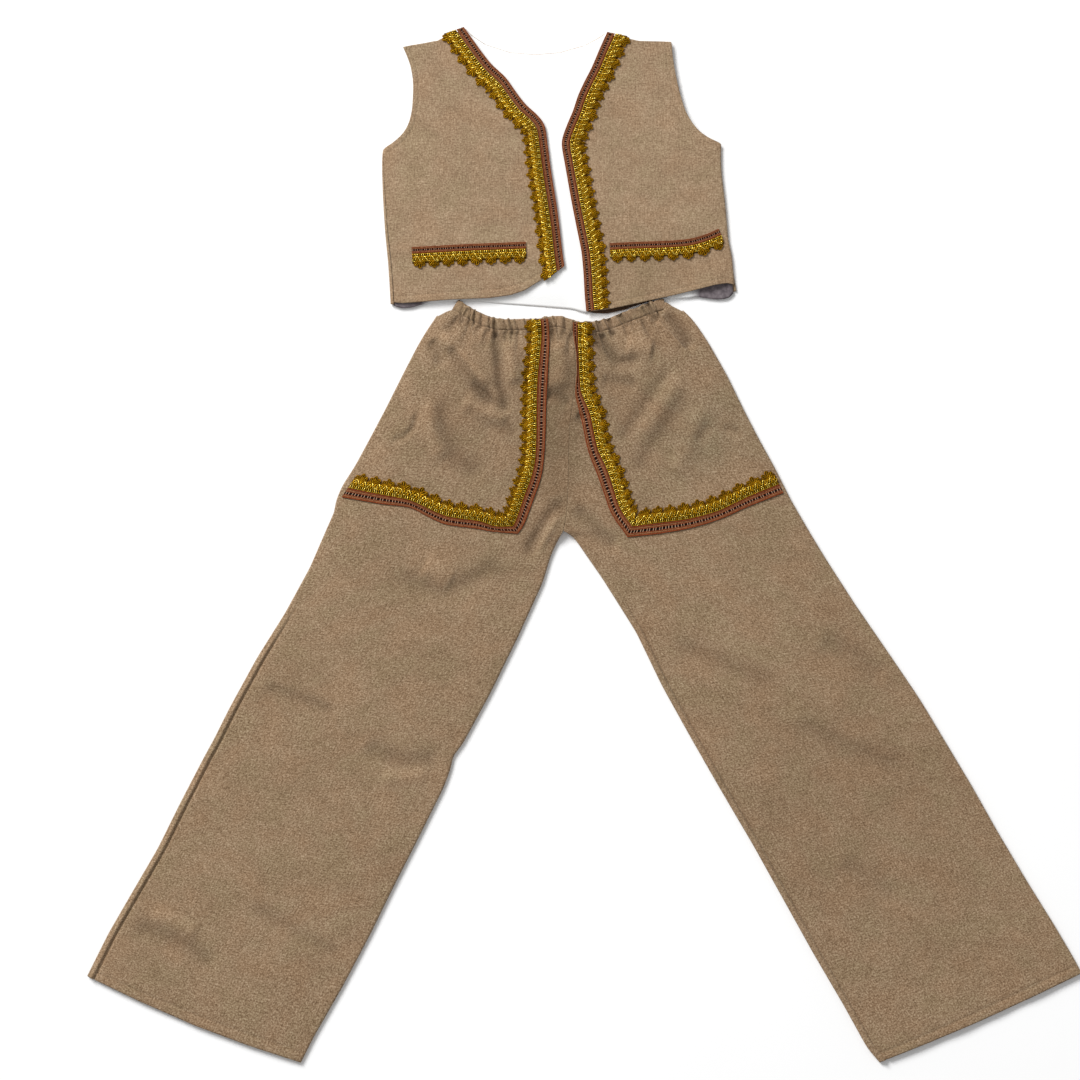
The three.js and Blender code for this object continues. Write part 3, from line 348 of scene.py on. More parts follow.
def soften(points, sigma, splits=()):
    """Smooths evenly spaced points but keeps the ends and the points named in splits."""
    points = np.array(points, float)
    result = points.copy()
    reach = int(3 * sigma) + 1
    kernel = np.exp(-0.5 * (np.arange(-reach, reach + 1) / sigma) ** 2)
    kernel /= kernel.sum()
    stops = [0, *splits, len(points) - 1]
    for start, stop in zip(stops[:-1], stops[1:]):
        part = points[start:stop + 1]
        pad = min(reach, len(part) - 1)
        before = 2 * part[0] - part[pad:0:-1]
        after = 2 * part[-1] - part[-2:-pad - 2:-1]
        padded = np.concatenate([before, part, after])
        weights = kernel[reach - pad:reach + pad + 1] / kernel[reach - pad:reach + pad + 1].sum()
        for axis in range(points.shape[1]):
            result[start:stop + 1, axis] = np.convolve(padded[:, axis], weights, "valid")
    return result


class Panel:
    """The two long edges of a panel, o and i, resampled at chosen places along it."""

    def __init__(self, o, i, places, sigma, splits=()):
        o, i = np.array(o, float), np.array(i, float)
        middle = (o + i) / 2
        self.row_along = length_along(middle)
        self.length = self.row_along[-1]
        fine = np.linspace(0, self.length, int(round(self.length)) + 1)
        cuts = [int(round(self.row_along[k])) for k in splits]
        edges = []
        for edge in (o, i):
            line = np.column_stack([np.interp(fine, self.row_along, edge[:, axis]) for axis in (0, 1)])
            edges.append(soften(line, sigma, cuts))
        self.along = places(self.length)
        self.row = np.interp(self.along, self.row_along, np.arange(len(o)))
        self.o, self.i = (np.column_stack([np.interp(self.along, fine, edge[:, axis]) for axis in (0, 1)])
                          for edge in edges)
        self.no, self.ni = self.inward(self.o, self.i), self.inward(self.i, self.o)

    @staticmethod
    def inward(edge, other):
        """Unit vectors square to the edge, towards the other one."""
        t = np.gradient(edge, axis=0)
        n = np.column_stack([-t[:, 1], t[:, 0]])
        n /= np.linalg.norm(n, axis=1)[:, None]
        return n * np.sign((n * (other - edge)).sum(1))[:, None]


def spaced(start, end, fine, coarse):
    """Places along a panel, fine over its first and last stretch."""
    def places(length):
        return np.concatenate([
            np.linspace(0, start, int(start / fine), endpoint=False),
            np.linspace(start, length - end, int((length - start - end) / coarse), endpoint=False),
            np.linspace(length - end, length, int(end / fine) + 1)])
    return places


def columns_across(width, near, count_near, count_middle):
    """Distances from the first edge, close together near both edges: one row for each width."""
    edge = np.linspace(0, near, count_near)
    share = (np.arange(count_middle) + 1) / (count_middle + 1)
    middle = near + (width[:, None] - 2 * near) * share
    return np.concatenate([np.broadcast_to(edge, (len(width), count_near)), middle,
                           width[:, None] - edge[::-1]], axis=1)


# ---------------------------------------------------------------- creases

def nearest(x, y, line):
    """Distance to a line of points, and the share of the line where it is nearest."""
    best = np.full(np.shape(x), np.inf)
    share = np.zeros(np.shape(x))
    for k in range(len(line) - 1):
        (ax, ay), (bx, by) = line[k], line[k + 1]
        dx, dy = bx - ax, by - ay
        t = np.clip(((x - ax) * dx + (y - ay) * dy) / (dx * dx + dy * dy), 0, 1)
        distance = np.hypot(x - ax - t * dx, y - ay - t * dy)
        closer = distance < best
        best = np.where(closer, distance, best)
        share = np.where(closer, (k + t) / (len(line) - 1), share)
    return best, share


def crease_height(x, y, table):
    """Height of the creases of a table, which die away at both ends."""
    height = np.zeros(np.shape(x))
    for rise, width, *line in table:
        distance, share = nearest(x, y, line)
        ends = smooth(0, 0.18, share) * smooth(0, 0.18, 1 - share)
        height += CREASE_DEPTH * rise * np.exp(-(distance / width) ** 2) * ends
    return height


def sway(x, y):
    """The slow rise and fall of cloth that has been spread by hand."""
    return WAVINESS * (0.22 * np.sin(x / 17 + 1.3 * np.sin(y / 41)) * np.sin(y / 23 + 0.7)
                       + 0.16 * np.sin((x + y) / 9.3 + 1.1 * np.sin(x / 29)) * np.sin((x - 2 * y) / 31))


# ---------------------------------------------------------------- waistband

def catmull(points, per_span=24):
    """A centripetal Catmull-Rom line through the points, and the knot number of each sample."""
    p = np.array(points, float)
    p = np.vstack([2 * p[0] - p[1], p, 2 * p[-1] - p[-2]])
    out, knots = [], []
    for k in range(1, len(p) - 2):
        quad = p[k - 1:k + 3]
        t = np.concatenate([[0], np.cumsum(np.sqrt(np.linalg.norm(np.diff(quad[:, :2], axis=0), axis=1)))])
        u = np.linspace(t[1], t[2], per_span, endpoint=k == len(p) - 3)[:, None]
        a1, a2, a3 = (quad[j] * (t[j + 1] - u) / (t[j + 1] - t[j])
                          + quad[j + 1] * (u - t[j]) / (t[j + 1] - t[j])
                      for j in range(3))
        b1 = a1 * (t[2] - u) / (t[2] - t[0]) + a2 * (u - t[0]) / (t[2] - t[0])
        b2 = a2 * (t[3] - u) / (t[3] - t[1]) + a3 * (u - t[1]) / (t[3] - t[1])
        out.append(b1 * (t[2] - u) / (t[2] - t[1]) + b2 * (u - t[1]) / (t[2] - t[1]))
        knots.append(k - 1 + (u[:, 0] - t[1]) / (t[2] - t[1]))
    return np.vstack(out), np.concatenate(knots)


class Line:
    """A smooth line read by the length along it."""

    def __init__(self, points, through=True):
        points = np.array(points, float)
        line, self.knots = catmull(points[:, :2]) if through else (points[:, :2], np.arange(len(points)))
        self.s = length_along(line)
        self.length = self.s[-1]
        self.line = line
        tangent = np.gradient(line, self.s, axis=0)
        self.tangent = tangent / np.linalg.norm(tangent, axis=1)[:, None]

    def at(self, s):
        return np.stack([np.interp(s, self.s, self.line[:, axis]) for axis in (0, 1)], -1)

    def along(self, s):
        t = np.stack([np.interp(s, self.s, self.tangent[:, axis]) for axis in (0, 1)], -1)
        return t / np.linalg.norm(t, axis=-1)[..., None]


band = Line(BAND_LINE)
seam_s = np.linspace(0, band.length, 121)
seam_at, seam_along = band.at(seam_s), band.along(seam_s)
seam = seam_at + np.column_stack([seam_along[:, 1], -seam_along[:, 0]]) * SEAM_DOWN
waist_line = np.vstack([HIP_TOP["right"], seam, HIP_TOP["left"]])


def waist_y(x):
    return np.interp(x, waist_line[:, 0], waist_line[:, 1])


def puff(count):
    """0 in the valleys between gathers, at whole numbers, and 1 on their rounded tops."""
    away = np.minimum(count % 1, 1 - count % 1)
    return 0.65 * (1 - np.exp(-(away / 0.12) ** 2)) + 0.35 * np.sin(np.pi * count) ** 2


def gather_count(s):
    """Gathers up to the length s, unevenly spaced."""
    count = read(GATHERS, s)
    return count + 0.19 * np.sin(2.3 * count + 0.4) + 0.08 * np.sin(5.1 * count)


def end_height(s):
    """The casing lies flatter where it turns over at the sides."""
    return 1 - 0.45 * (1 - smooth(0, 12, s) * smooth(0, 12, band.length - s))


def band_wave(s):
    """How far the gathers lift the front of the casing."""
    count = gather_count(s)
    size = 0.85 + 0.3 * np.sin(2.4 * np.floor(count) + 0.9) * np.cos(1.3 * np.floor(count))
    inside = smooth(0, 6, s) * smooth(0, 6, band.length - s)
    return inside * (size * (3.0 * puff(count) + 0.8 * puff(2 * count + 0.35) * puff(count)) - 2.5)


def waistband_mesh():
    """The casing: one ring round its front and its back, with a flat oval section."""
    half = BAND_WALL / 2
    sides = 22
    angle = np.arange(sides) * 2 * math.pi / sides
    w = np.sign(np.cos(angle)) * np.abs(np.cos(angle)) ** 0.55 * BAND_HALF
    n = np.sign(np.sin(angle)) * np.abs(np.sin(angle)) ** 0.7 * half
    # length along the line, turn over the side from front to back, and the side on which it turns
    stations = [(s, 0.0, 1) for s in np.arange(0, band.length, 0.62)]
    stations += [(band.length, t * math.pi, 1) for t in np.linspace(0, 1, 9)]
    stations += [(s, math.pi, 1) for s in np.linspace(band.length, 0, 90)[1:-1]]
    stations += [(0.0, t * math.pi, -1) for t in np.linspace(1, 0, 9)[:-1]]
    s, turn, side = (np.array(column) for column in zip(*stations))
    at, along = band.at(s), band.along(s)
    near_front = (0.5 + 0.5 * np.cos(turn))[:, None]
    facing_up = np.maximum(np.cos(turn), 0)[:, None]
    flat_end = end_height(s)[:, None]
    tuck = 1 - 0.3 * np.exp(-((np.abs(w) - 0.8 * BAND_HALF) / 0.5) ** 2)  # the casing's two rows of stitches
    lean = band_wave(s[:, None] + 0.35 * w) * near_front
    d = (half + BAND_SPLIT / 2 + n + lean * np.maximum(n, 0) / half * tuck) * flat_end
    high = w * (1 + 0.1 * np.where(w > 0, band_wave(s)[:, None] * near_front, 0))
    out = (side * np.sin(turn))[:, None] * d
    x = at[:, :1] - along[:, 1:] * high + along[:, :1] * out
    y = at[:, 1:] + along[:, :1] * high + along[:, 1:] * out
    # its lower edge dips under the trouser cloth, and sharp pleats cross it
    dip = smooth(0.7, 0.95, -w / BAND_HALF) * np.where(n > 0, 2.4, 1.0) * facing_up
    z = (half * 2 + BAND_SPLIT / 2) * flat_end + np.cos(turn)[:, None] * d - dip
    z = z + crease_height(x, y, PLEATS) * (n > 0) * facing_up
    z = np.maximum(z, ON_FLOOR + 1.2 * facing_up)
    faces = grid_faces(len(s), sides, closed_columns=True, closed_rows=True)
    around = length_along(np.column_stack([np.append(w, w[0]), np.append(n, n[0])]))
    middle = np.column_stack([x.mean(1), y.mean(1)])
    length = np.concatenate([[0], np.cumsum(np.linalg.norm(np.diff(middle, axis=0), axis=1) + 0.02)])
    length = np.append(length, length[-1] + 1)
    r, c = np.divmod(np.arange(len(faces)), sides)
    u = length[np.stack([r, r, r + 1, r + 1], -1)] * DRAWN_IN
    v = around[np.stack([c, c + 1, c + 1, c], -1)]
    return xyz(x, y, z).reshape(-1, 3), faces, np.stack([u, v], -1) * MM


# ---------------------------------------------------------------- trousers

def valleys():
    """Depth of the valley between two gathers and its line down from the casing, for each of them."""
    lines = []
    fine = np.linspace(0, band.length, 2000)
    counts = gather_count(fine)
    for n, (length, lean) in enumerate(GATHER_VALLEYS, 1):
        s = float(np.interp(n, counts, fine))
        p, t = band.at(s), band.along(s)
        down = np.array([t[1], -t[0]])
        points = [p + down * (SEAM_DOWN - 1 + length * k) + t * lean * k * k for k in (0, 0.3, 0.6, 1)]
        lines.append((2.3 + 0.8 * math.sin(1.7 * n), [tuple(q) for q in points]))
    return lines


VALLEYS = valleys()


def gather_height(x, y):
    """How far the valleys between the gathers sink the cloth."""
    height = np.zeros(np.shape(x))
    near = y > 150
    for depth, line in VALLEYS:
        distance, share = nearest(x[near], y[near], line)
        width = 1.4 + 2.6 * share
        height[near] -= depth * np.exp(-(distance / width) ** 2) * (1 - share) ** 0.65
    return height


def trouser_mesh(side):
    """Half of the trousers, from waist to hem: a ring of front, inner fold, back and outer fold."""
    right = side == "right"
    o = points_of(HIPS, 0 if right else 2) + points_of(LEGS, 0 if right else 3)
    i = points_of(HIPS, 1) + points_of(LEGS, 1 if right else 2)
    o[0] = (o[0][0], float(waist_y(o[0][0])))
    i[0] = (i[0][0], float(waist_y(i[0][0])))
    crotch = len(HIPS) - 1
    panel = Panel(o, i, spaced(40, 12, 1.4, 3.2), 4, [crotch])
    along = panel.along[:, None]
    from_hem = panel.length - along
    row = panel.row
    fold = (HIP_FOLD + (FOLD - HIP_FOLD) * np.clip(row, 0, 1))[:, None]
    # the two halves are joined, and so not folded, as far down as the crotch
    open_i = 1 - smooth(0, 16, along - panel.row_along[crotch])
    rise = (HIP_RISE + (LEG_RISE - HIP_RISE) * smooth(crotch - 2, crotch + 5, row))[:, None]
    rise = rise * (1 - 0.5 * smooth(14, 2, from_hem))
    po = panel.o + panel.no * fold
    pi = panel.i + panel.ni * fold * (1 - open_i)
    width = np.linalg.norm(pi - po, axis=1)

    def waist_x(u):
        return o[0][0] + (i[0][0] - o[0][0]) * u

    def spread(u):
        """Points across the panel, whose waist and hem stray from straight lines."""
        bow = ((waist_y(waist_x(u)) - (o[0][1] + (i[0][1] - o[0][1]) * u)) * fade(along, 22)
               + read(LEG_HEM_BOW[side], u) * fade(from_hem, 25))
        return po[:, :1] + (pi - po)[:, :1] * u, po[:, 1:] + (pi - po)[:, 1:] * u + bow

    from_outer = columns_across(width, 12, 14, 116)
    from_inner = width[:, None] - from_outer
    u = from_outer / width[:, None]
    x, y = spread(u)
    inner = open_i + (1 - open_i) * (1 - fade(from_inner, EDGE_SOFTNESS))
    outer = 1 - fade(from_outer, EDGE_SOFTNESS)
    mask = (smooth(0, 12, from_outer) * (open_i + (1 - open_i) * smooth(0, 12, from_inner))
            * smooth(0, 6, along))
    plain = 2 * fold + rise * outer * inner + (crease_height(x, y, CREASES) + sway(x, y)) * mask
    # under the casing the cloth has its height and its gathers
    top_x = waist_x(u)
    sewn = (smooth(seam[0, 0] - 14, seam[0, 0] + 2, top_x)
            * smooth(-seam[-1, 0] - 14, -seam[-1, 0] + 2, -top_x))
    on_band = np.interp(top_x, seam[:, 0], seam_s)
    waist = 2 * HIP_FOLD + (CASING_FACE * end_height(on_band) - 2 * HIP_FOLD) * sewn
    gathers = (0.7 * band_wave(on_band - 0.35 * SEAM_DOWN) * fade(along, 9)
               + gather_height(x, y) * smooth(0, 6, along) + crease_height(x, y, PLEATS)) * sewn
    gathers = np.maximum(gathers, -1.9 - 2.1 * smooth(3, 9, along))
    z = waist + (np.maximum(plain, LOWEST_TOP) - waist) * (1 - fade(along, 7)) + gathers
    # the seam that has rolled onto the front: a round edge with a groove beside it
    rolled = (1 - smooth(-110, -40, panel.o[:, 1]) if right else 1 - smooth(-90, -20, panel.i[:, 1]))[:, None]
    from_roll = from_outer if right else from_inner
    z = z + rolled * (1.3 * np.exp(-((from_roll - 2.0) / 1.8) ** 2) * smooth(0, 1, from_roll)
                      - 1.7 * np.exp(-((from_roll - 5.0) / 0.9) ** 2))
    # the hem: two layers, and the line where it is stitched
    z = z + 0.35 * smooth(8.5, 7.2, from_hem) - 0.9 * np.exp(-((from_hem - 7.4) / 1.0) ** 2)
    turn = np.radians(np.array([67.5, 45, 22.5, 0, -22.5, -45, -67.5]))[None, :]

    def fold_points(line, normal, top, share_open):
        s = (1 - share_open) * fold * (1 - np.cos(turn))
        round_z = fold + fold * np.sin(turn)
        flat_z = ON_FLOOR + (top - ON_FLOOR) * (0.5 + 0.5 * np.sin(turn))
        height = np.maximum(round_z * (1 - share_open) + flat_z * share_open, ON_FLOOR)
        return xyz(line[:, :1] + normal[:, :1] * s, line[:, 1:] + normal[:, 1:] * s, height)

    inner_fold = fold_points(panel.i, panel.ni, z[:, -1:], open_i)
    outer_fold = fold_points(panel.o, panel.no, z[:, :1], np.zeros_like(open_i))[:, ::-1]
    back = xyz(*spread(np.linspace(1, 0, 24)[None, :]), ON_FLOOR)
    ring = np.concatenate([outer_fold[:, 3:], xyz(x, y, z), inner_fold, back, outer_fold[:, :3]], axis=1)
    rows, columns = ring.shape[:2]
    faces = grid_faces(rows, columns, closed_columns=True)
    # front and back are laid out side by side, joined at the outer fold
    step = np.linalg.norm(np.diff(np.concatenate([ring, ring[:, :1]], axis=1), axis=1), axis=2)
    forward = np.concatenate([np.zeros((rows, 1)), np.cumsum(step, axis=1)], axis=1)
    backward = forward - forward[:, -1:]
    r, c = np.divmod(np.arange(len(faces)), columns)
    rr, cc = np.stack([r, r, r + 1, r + 1], -1), np.stack([c, c + 1, c + 1, c], -1)
    on_front = (c < 4 + z.shape[1] + 3)[:, None]
    across = np.where(on_front, forward[rr, cc], backward[rr, cc]) + (0 if right else 700)
    uv = np.stack([across, -panel.along[rr]], -1) * MM
    turned = -1 if right else 1
    return ring.reshape(-1, 3), faces[:, ::turned], uv[:, ::turned]


# ---------------------------------------------------------------- vest

def above_armhole(panel):
    """1 beside the armhole, where front and back are open, and 0 along the side seam."""
    return np.interp(panel.row, [ARMHOLE_ROW, ARMHOLE_ROW + 1], [0.0, 1.0])[:, None]


def along_row(panel):
    """1 where the edge columns run along the rows and no longer square to the edge, at the armhole."""
    return smooth(ARMHOLE_ROW - 1.8, ARMHOLE_ROW - 0.4, panel.row)[:, None]


def rolled_seam(panel):
    """How far the back's cloth has rolled onto the front at the right side seam."""
    return ((4.5 - 1.7 * smooth(0, ARMHOLE_ROW - 1, panel.row))
            * (1 - smooth(ARMHOLE_ROW - 0.9, ARMHOLE_ROW, panel.row)))[:, None]


def skin(grid, flip=False):
    """Verts, faces and flat cloth coordinates of a grid of points."""
    verts, faces = grid.reshape(-1, 3), grid_faces(*grid.shape[:2])
    faces = faces[:, ::-1] if flip else faces
    return verts, faces, verts[faces][..., :2] * MM


def vest_front_mesh(side):
    right = side == "right"
    o, i = (points_of(VEST, k) for k in ((0, 1) if right else (3, 2)))
    panel = Panel(o, i, spaced(12, 8, 0.8, 1.9), 3.5, [ARMHOLE_ROW])
    open_o = above_armhole(panel)
    wrap = rolled_seam(panel) if right else np.zeros((len(panel.row), 1))
    # columns beside the side seam, measured round its fold
    quarter = FOLD * math.pi / 2
    start = wrap + (quarter - wrap) * open_o + 0.15
    ls = start + np.array([0, 0.5, 1.0, 1.5, 2.0, 2.6, 3.2, 3.9, 4.7, 5.6, 6.6, 7.8])[None, :]
    angle = np.minimum(ls, quarter) / FOLD
    past = np.maximum(0, ls - quarter)
    s = FOLD * (1 - np.cos(angle)) + past - open_o * FOLD
    width = np.linalg.norm(panel.i - panel.o, axis=1)[:, None]
    direction = (panel.i - panel.o) / width
    turned = along_row(panel)
    aim = panel.no * (1 - turned) + direction * turned
    aim /= np.linalg.norm(aim, axis=1)[:, None]
    edge_points = panel.o[:, None, :] + aim[:, None, :] * s[..., None]
    # columns beside the front edge, and the ones between
    near_i = np.array([6.5, 5.5, 4.5, 3.6, 2.8, 2.0, 1.3, 0.7, 0.15])[None, :]
    inner_points = panel.i[:, None, :] + panel.ni[:, None, :] * near_i[..., None]
    count = 64
    share = (np.arange(count) + 1)[None, :] / (count + 1)
    last, first = edge_points[:, -1], inner_points[:, 0]
    middle = last[:, None] + (first - last)[:, None] * share[..., None]
    xy = np.concatenate([edge_points, middle, inner_points], axis=1)
    x, y = xy[..., 0], xy[..., 1]
    rel = ((x - panel.o[:, :1]) * direction[:, :1] + (y - panel.o[:, 1:]) * direction[:, 1:])
    u = np.clip(rel / width, 0, 1)
    span = width - near_i[:, :1] - s[:, -1:]
    folded = FOLD * (1 - open_o)
    from_side = np.concatenate([past, s[:, -1:] - folded + span * share, width - near_i - folded], axis=1)
    from_edge = np.maximum(width - rel, 0)
    along = panel.along[:, None]
    y = y + (read(HEM_BOW[side], u) * fade(along, 30)
             + read(SHOULDER_BOW[side], u) * fade(panel.length - along, 20))
    top = (2 * FOLD + VEST_RISE * (1 - fade(from_side, EDGE_SOFTNESS)) * (1 - fade(from_edge, EDGE_SOFTNESS))
           + 0.5 * sway(x * 1.15 + 40, y * 1.2) * smooth(0, 15, from_side) * smooth(0, 15, from_edge))
    if not right:  # the hem corner that stands up
        top = top + (2.6 * np.exp(-((x - 118) / 17) ** 2 - ((y - 236) / 12) ** 2)) * smooth(0, 14, from_side)
    z = np.concatenate([np.where(ls < quarter, FOLD + FOLD * np.sin(angle), top[:, :ls.shape[1]]),
                        top[:, ls.shape[1]:]], axis=1)
    # the edges are turned in: a thicker rim and a shallow groove where it is stitched
    armhole, _ = nearest(x, y, [tuple(p) for p in panel.o[panel.row > ARMHOLE_ROW]])
    for distance in (along, armhole):
        z = z + 0.25 * smooth(5.6, 4.2, distance) - 0.4 * np.exp(-((distance - 5.0) / 0.8) ** 2)
    return skin(xyz(x, y, z), flip=not right), panel


def vest_back_panel():
    o, i = points_of(VEST, 0), points_of(VEST, 3)
    o[0], i[0] = BACK_HEM_ENDS
    return Panel(o, i, spaced(10, 14, 1.2, 2.6), 3.5, [ARMHOLE_ROW])


def back_bow(panel, u):
    """How far the back's hem and its top stray from straight lines."""
    along = panel.along[:, None]

    def stray(line, k):
        (ax, ay), (bx, by) = panel.o[k], panel.i[k]
        return read(line, ax + (bx - ax) * u) - (ay + (by - ay) * u)
    return stray(BACK_HEM, 0) * fade(along, 20) + stray(BACK_TOP, -1) * fade(panel.length - along, 12)


def bare_hem(x):
    """1 where the back's hem shows between the two fronts."""
    return smooth(-122, -104, x) * smooth(4, 16, -x)


def vest_back_mesh():
    """The back's cloth, rolled up at both sides, and which of its faces belong to the hem turned up below the
    left front, which is painted dark as shade.
    """
    panel = vest_back_panel()
    open_o = above_armhole(panel)
    quarter = FOLD * math.pi / 2
    columns, heights = [], []
    across = (panel.i - panel.o) / np.linalg.norm(panel.i - panel.o, axis=1)[:, None]
    turned = along_row(panel)
    step = np.arange(8)[None, :]
    for line, normal, hand, wrap in ((panel.o, panel.no, 1, rolled_seam(panel)), (panel.i, panel.ni, -1, 0)):
        aim = normal * (1 - turned) + hand * across * turned
        start = wrap - 0.15
        ls = start + (-quarter - start) * step / 7
        angle = np.clip(ls, -quarter, quarter) / FOLD
        s = (FOLD * (1 - np.cos(angle)) + np.maximum(0, np.abs(ls) - quarter)) * (1 - open_o)
        s = s + (0.15 + 0.12 * step) * open_o
        columns.append(line[:, None] + aim[:, None] * s[..., None])
        heights.append(np.maximum((FOLD + FOLD * np.sin(angle)) * (1 - open_o), ON_FLOOR))
    count = 64
    share = (np.arange(count) + 1)[None, :, None] / (count + 1)
    first, last = columns[0][:, -1], columns[1][:, -1]
    middle = first[:, None] + (last - first)[:, None] * share
    xy = np.concatenate([columns[0], middle, columns[1][:, ::-1]], axis=1)
    z = np.concatenate([heights[0], np.full((len(panel.row), count), ON_FLOOR), heights[1][:, ::-1]], axis=1)
    x = xy[..., 0]
    u = np.clip((x - first[:, :1]) / (last - first)[:, :1], 0, 1)
    y = xy[..., 1] + back_bow(panel, u) + 4 * bare_hem(x) * fade(panel.along[:, None], 8)
    verts, faces, uv = skin(xyz(x, y, z), flip=True)
    face_x = verts[faces].mean(axis=1)[:, 0]
    face_up = np.repeat((panel.along[:-1] + panel.along[1:]) / 2, z.shape[1] - 1)
    return (verts, faces, uv), (face_up < 12) & (face_x > SHADED_HEM_SPAN[0]) & (face_x < SHADED_HEM_SPAN[3])


def lining_mesh():
    """The lining lies on the back's cloth. It ends above the back's hem where that is turned up and painted
    dark as shade, and covers the back's hem between the fronts."""
    panel = vest_back_panel()
    inset = 2.6 + (0.6 - 2.6) * above_armhole(panel)
    first, last = panel.o + panel.no * inset, panel.i + panel.ni * inset
    share = np.linspace(0, 1, 84)[None, :, None]
    xy = first[:, None] + (last - first)[:, None] * share
    along = panel.along[:, None]
    x = xy[..., 0]
    shaded_hem = smooth(*SHADED_HEM_SPAN[:2], x) * smooth(-SHADED_HEM_SPAN[3], -SHADED_HEM_SPAN[2], -x)
    y = (xy[..., 1] + back_bow(panel, share[..., 0]) + (9 * shaded_hem - 1.5) * fade(along, 6)
         - 0.6 * fade(panel.length - along, 6))
    z = 2.4 - 0.9 * fade(along, 9) * smooth(-110, -90, x) * smooth(-90, -80, -x)
    z = z - (z - 0.6) * bare_hem(x) * fade(along, 5)
    ripple = np.sin(x / 13 + 0.6 * np.sin(y / 17)) * np.sin(y / 21 + 0.4 * np.sin(x / 11))
    return skin(xyz(x, y, z + 0.25 * (1 - fade(along, 9)) * ripple))


# ---------------------------------------------------------------- braids

class Run:
    """A line that a braid follows: a is a length along it and d a distance to its gold side."""

    def __init__(self, points, side, start_skew, end_skew, below, reach, through=True):
        points = np.array(points, float)
        self.line = Line(points, through)
        self.length = self.line.length
        self.side, self.start, self.end = side, start_skew, end_skew
        widths = points[:, 2] if points.shape[1] > 2 else np.zeros(len(points))
        self.widths = np.interp(self.line.knots, np.arange(len(points)), widths)
        self.grid(below, *reach)

    def width(self, a):
        return np.interp(a, self.line.s, self.widths)

    def place(self, a, d):
        s = (a + d * self.start * np.maximum(0, 1 - a / CORNER_REACH)
             + d * self.end * np.maximum(0, 1 - (self.length - a) / CORNER_REACH))
        inside = np.clip(s, 0, self.length)
        p, t = self.line.at(inside), self.line.along(inside)
        past = s - inside
        return (p[..., 0] + t[..., 0] * past - t[..., 1] * self.side * d,
                p[..., 1] + t[..., 1] * past + t[..., 0] * self.side * d)

    def grid(self, below, low, high):
        """How high the cloth stands under the braid, evened out as the stiff braid evens it."""
        self.a = np.linspace(-2, self.length + 2, int(self.length / 1.1) + 4)
        self.d = np.linspace(low - 1, high + 1, int((high - low + 2) / 0.9) + 1)
        aa, dd = np.meshgrid(self.a, self.d, indexing="ij")
        x, y = self.place(aa, dd)
        z = np.full(x.shape, np.nan)
        down = Vector((0, 0, -1))
        for k in np.ndindex(x.shape):
            hit = below.ray_cast(Vector((x[k], y[k], 60)), down)[0]
            if hit is not None and hit.z > 2.2:
                z[k] = hit.z
        for _ in range(40):
            if not np.isnan(z).any():
                break
            padded = np.pad(z, 1, constant_values=np.nan)
            around = np.stack([padded[:-2, 1:-1], padded[2:, 1:-1], padded[1:-1, :-2], padded[1:-1, 2:]])
            known = ~np.isnan(around)
            mean = np.where(known, around, 0).sum(0) / np.maximum(known.sum(0), 1)
            z = np.where(np.isnan(z) & known.any(0), mean, z)
        for axis, reach in ((0, 2), (1, 1)):
            z = np.max([np.roll(np.pad(z, reach, "edge"), k, axis)[reach:-reach, reach:-reach]
                        for k in range(-reach, reach + 1)], axis=0)
        for _ in range(3):
            p = np.pad(z, 1, "edge")
            z = (2 * p[1:-1, 1:-1] + p[:-2, 1:-1] + p[2:, 1:-1] + p[1:-1, :-2] + p[1:-1, 2:]) / 6
        self.z = z

    def top(self, a, d):
        i = np.clip((a - self.a[0]) / (self.a[1] - self.a[0]), 0, len(self.a) - 1.001)
        j = np.clip((d - self.d[0]) / (self.d[1] - self.d[0]), 0, len(self.d) - 1.001)
        i0, j0 = i.astype(int), j.astype(int)
        fi, fj = i - i0, j - j0
        z = self.z
        return ((z[i0, j0] * (1 - fi) + z[i0 + 1, j0] * fi) * (1 - fj)
                + (z[i0, j0 + 1] * (1 - fi) + z[i0 + 1, j0 + 1] * fi) * fj)

    def lay(self, points):
        """Points (a, d, h) laid onto the cloth."""
        a, d, h = points[:, 0], points[:, 1], points[:, 2]
        x, y = self.place(a, d)
        return xyz(x, y, self.top(a, d) + 0.1 + h)


class Threads:
    """Collects tubes and strips in (a, d, h), each with a material number, and lays them as one mesh."""

    def __init__(self):
        self.verts, self.faces, self.kinds, self.count = [], [], [], 0

    def add(self, verts, faces, kind, path):
        self.verts.append(path.lay(verts))
        self.faces.append(faces + self.count)
        self.kinds.append(np.full(len(faces), kind))
        self.count += len(verts)

    def tube(self, path, points, radius, kind, sides=5, closed=False):
        p = np.array(points, float)
        radius = np.broadcast_to(radius, (len(p),))[:, None, None]
        t = np.roll(p, -1, 0) - np.roll(p, 1, 0) if closed else np.gradient(p, axis=0)
        t /= np.linalg.norm(t, axis=1)[:, None] + 1e-9
        across = np.cross(t, (0, 0, 1.0))
        across /= np.linalg.norm(across, axis=1)[:, None] + 1e-9
        up = np.cross(across, t)
        angle = (np.arange(sides) + 0.5) * 2 * math.pi / sides
        ring = across[:, None] * np.cos(angle)[None, :, None] + up[:, None] * np.sin(angle)[None, :, None]
        verts = (p[:, None] + ring * radius).reshape(-1, 3)
        self.add(verts, grid_faces(len(p), sides, closed_columns=True, closed_rows=closed), kind, path)

    def strip(self, path, a, ds, hs, kind):
        """A strip along a, with columns at the distances ds (one row of them for each a) and heights hs."""
        verts = xyz(a[:, None], ds, hs).reshape(-1, 3)
        self.add(verts, grid_faces(*ds.shape), kind, path)

    def build(self, name, materials):
        faces = np.vstack(self.faces)
        verts = np.vstack(self.verts)
        uv = verts[faces][..., :2] * MM
        return make_object(name, verts, faces, uv, materials, np.concatenate(self.kinds))


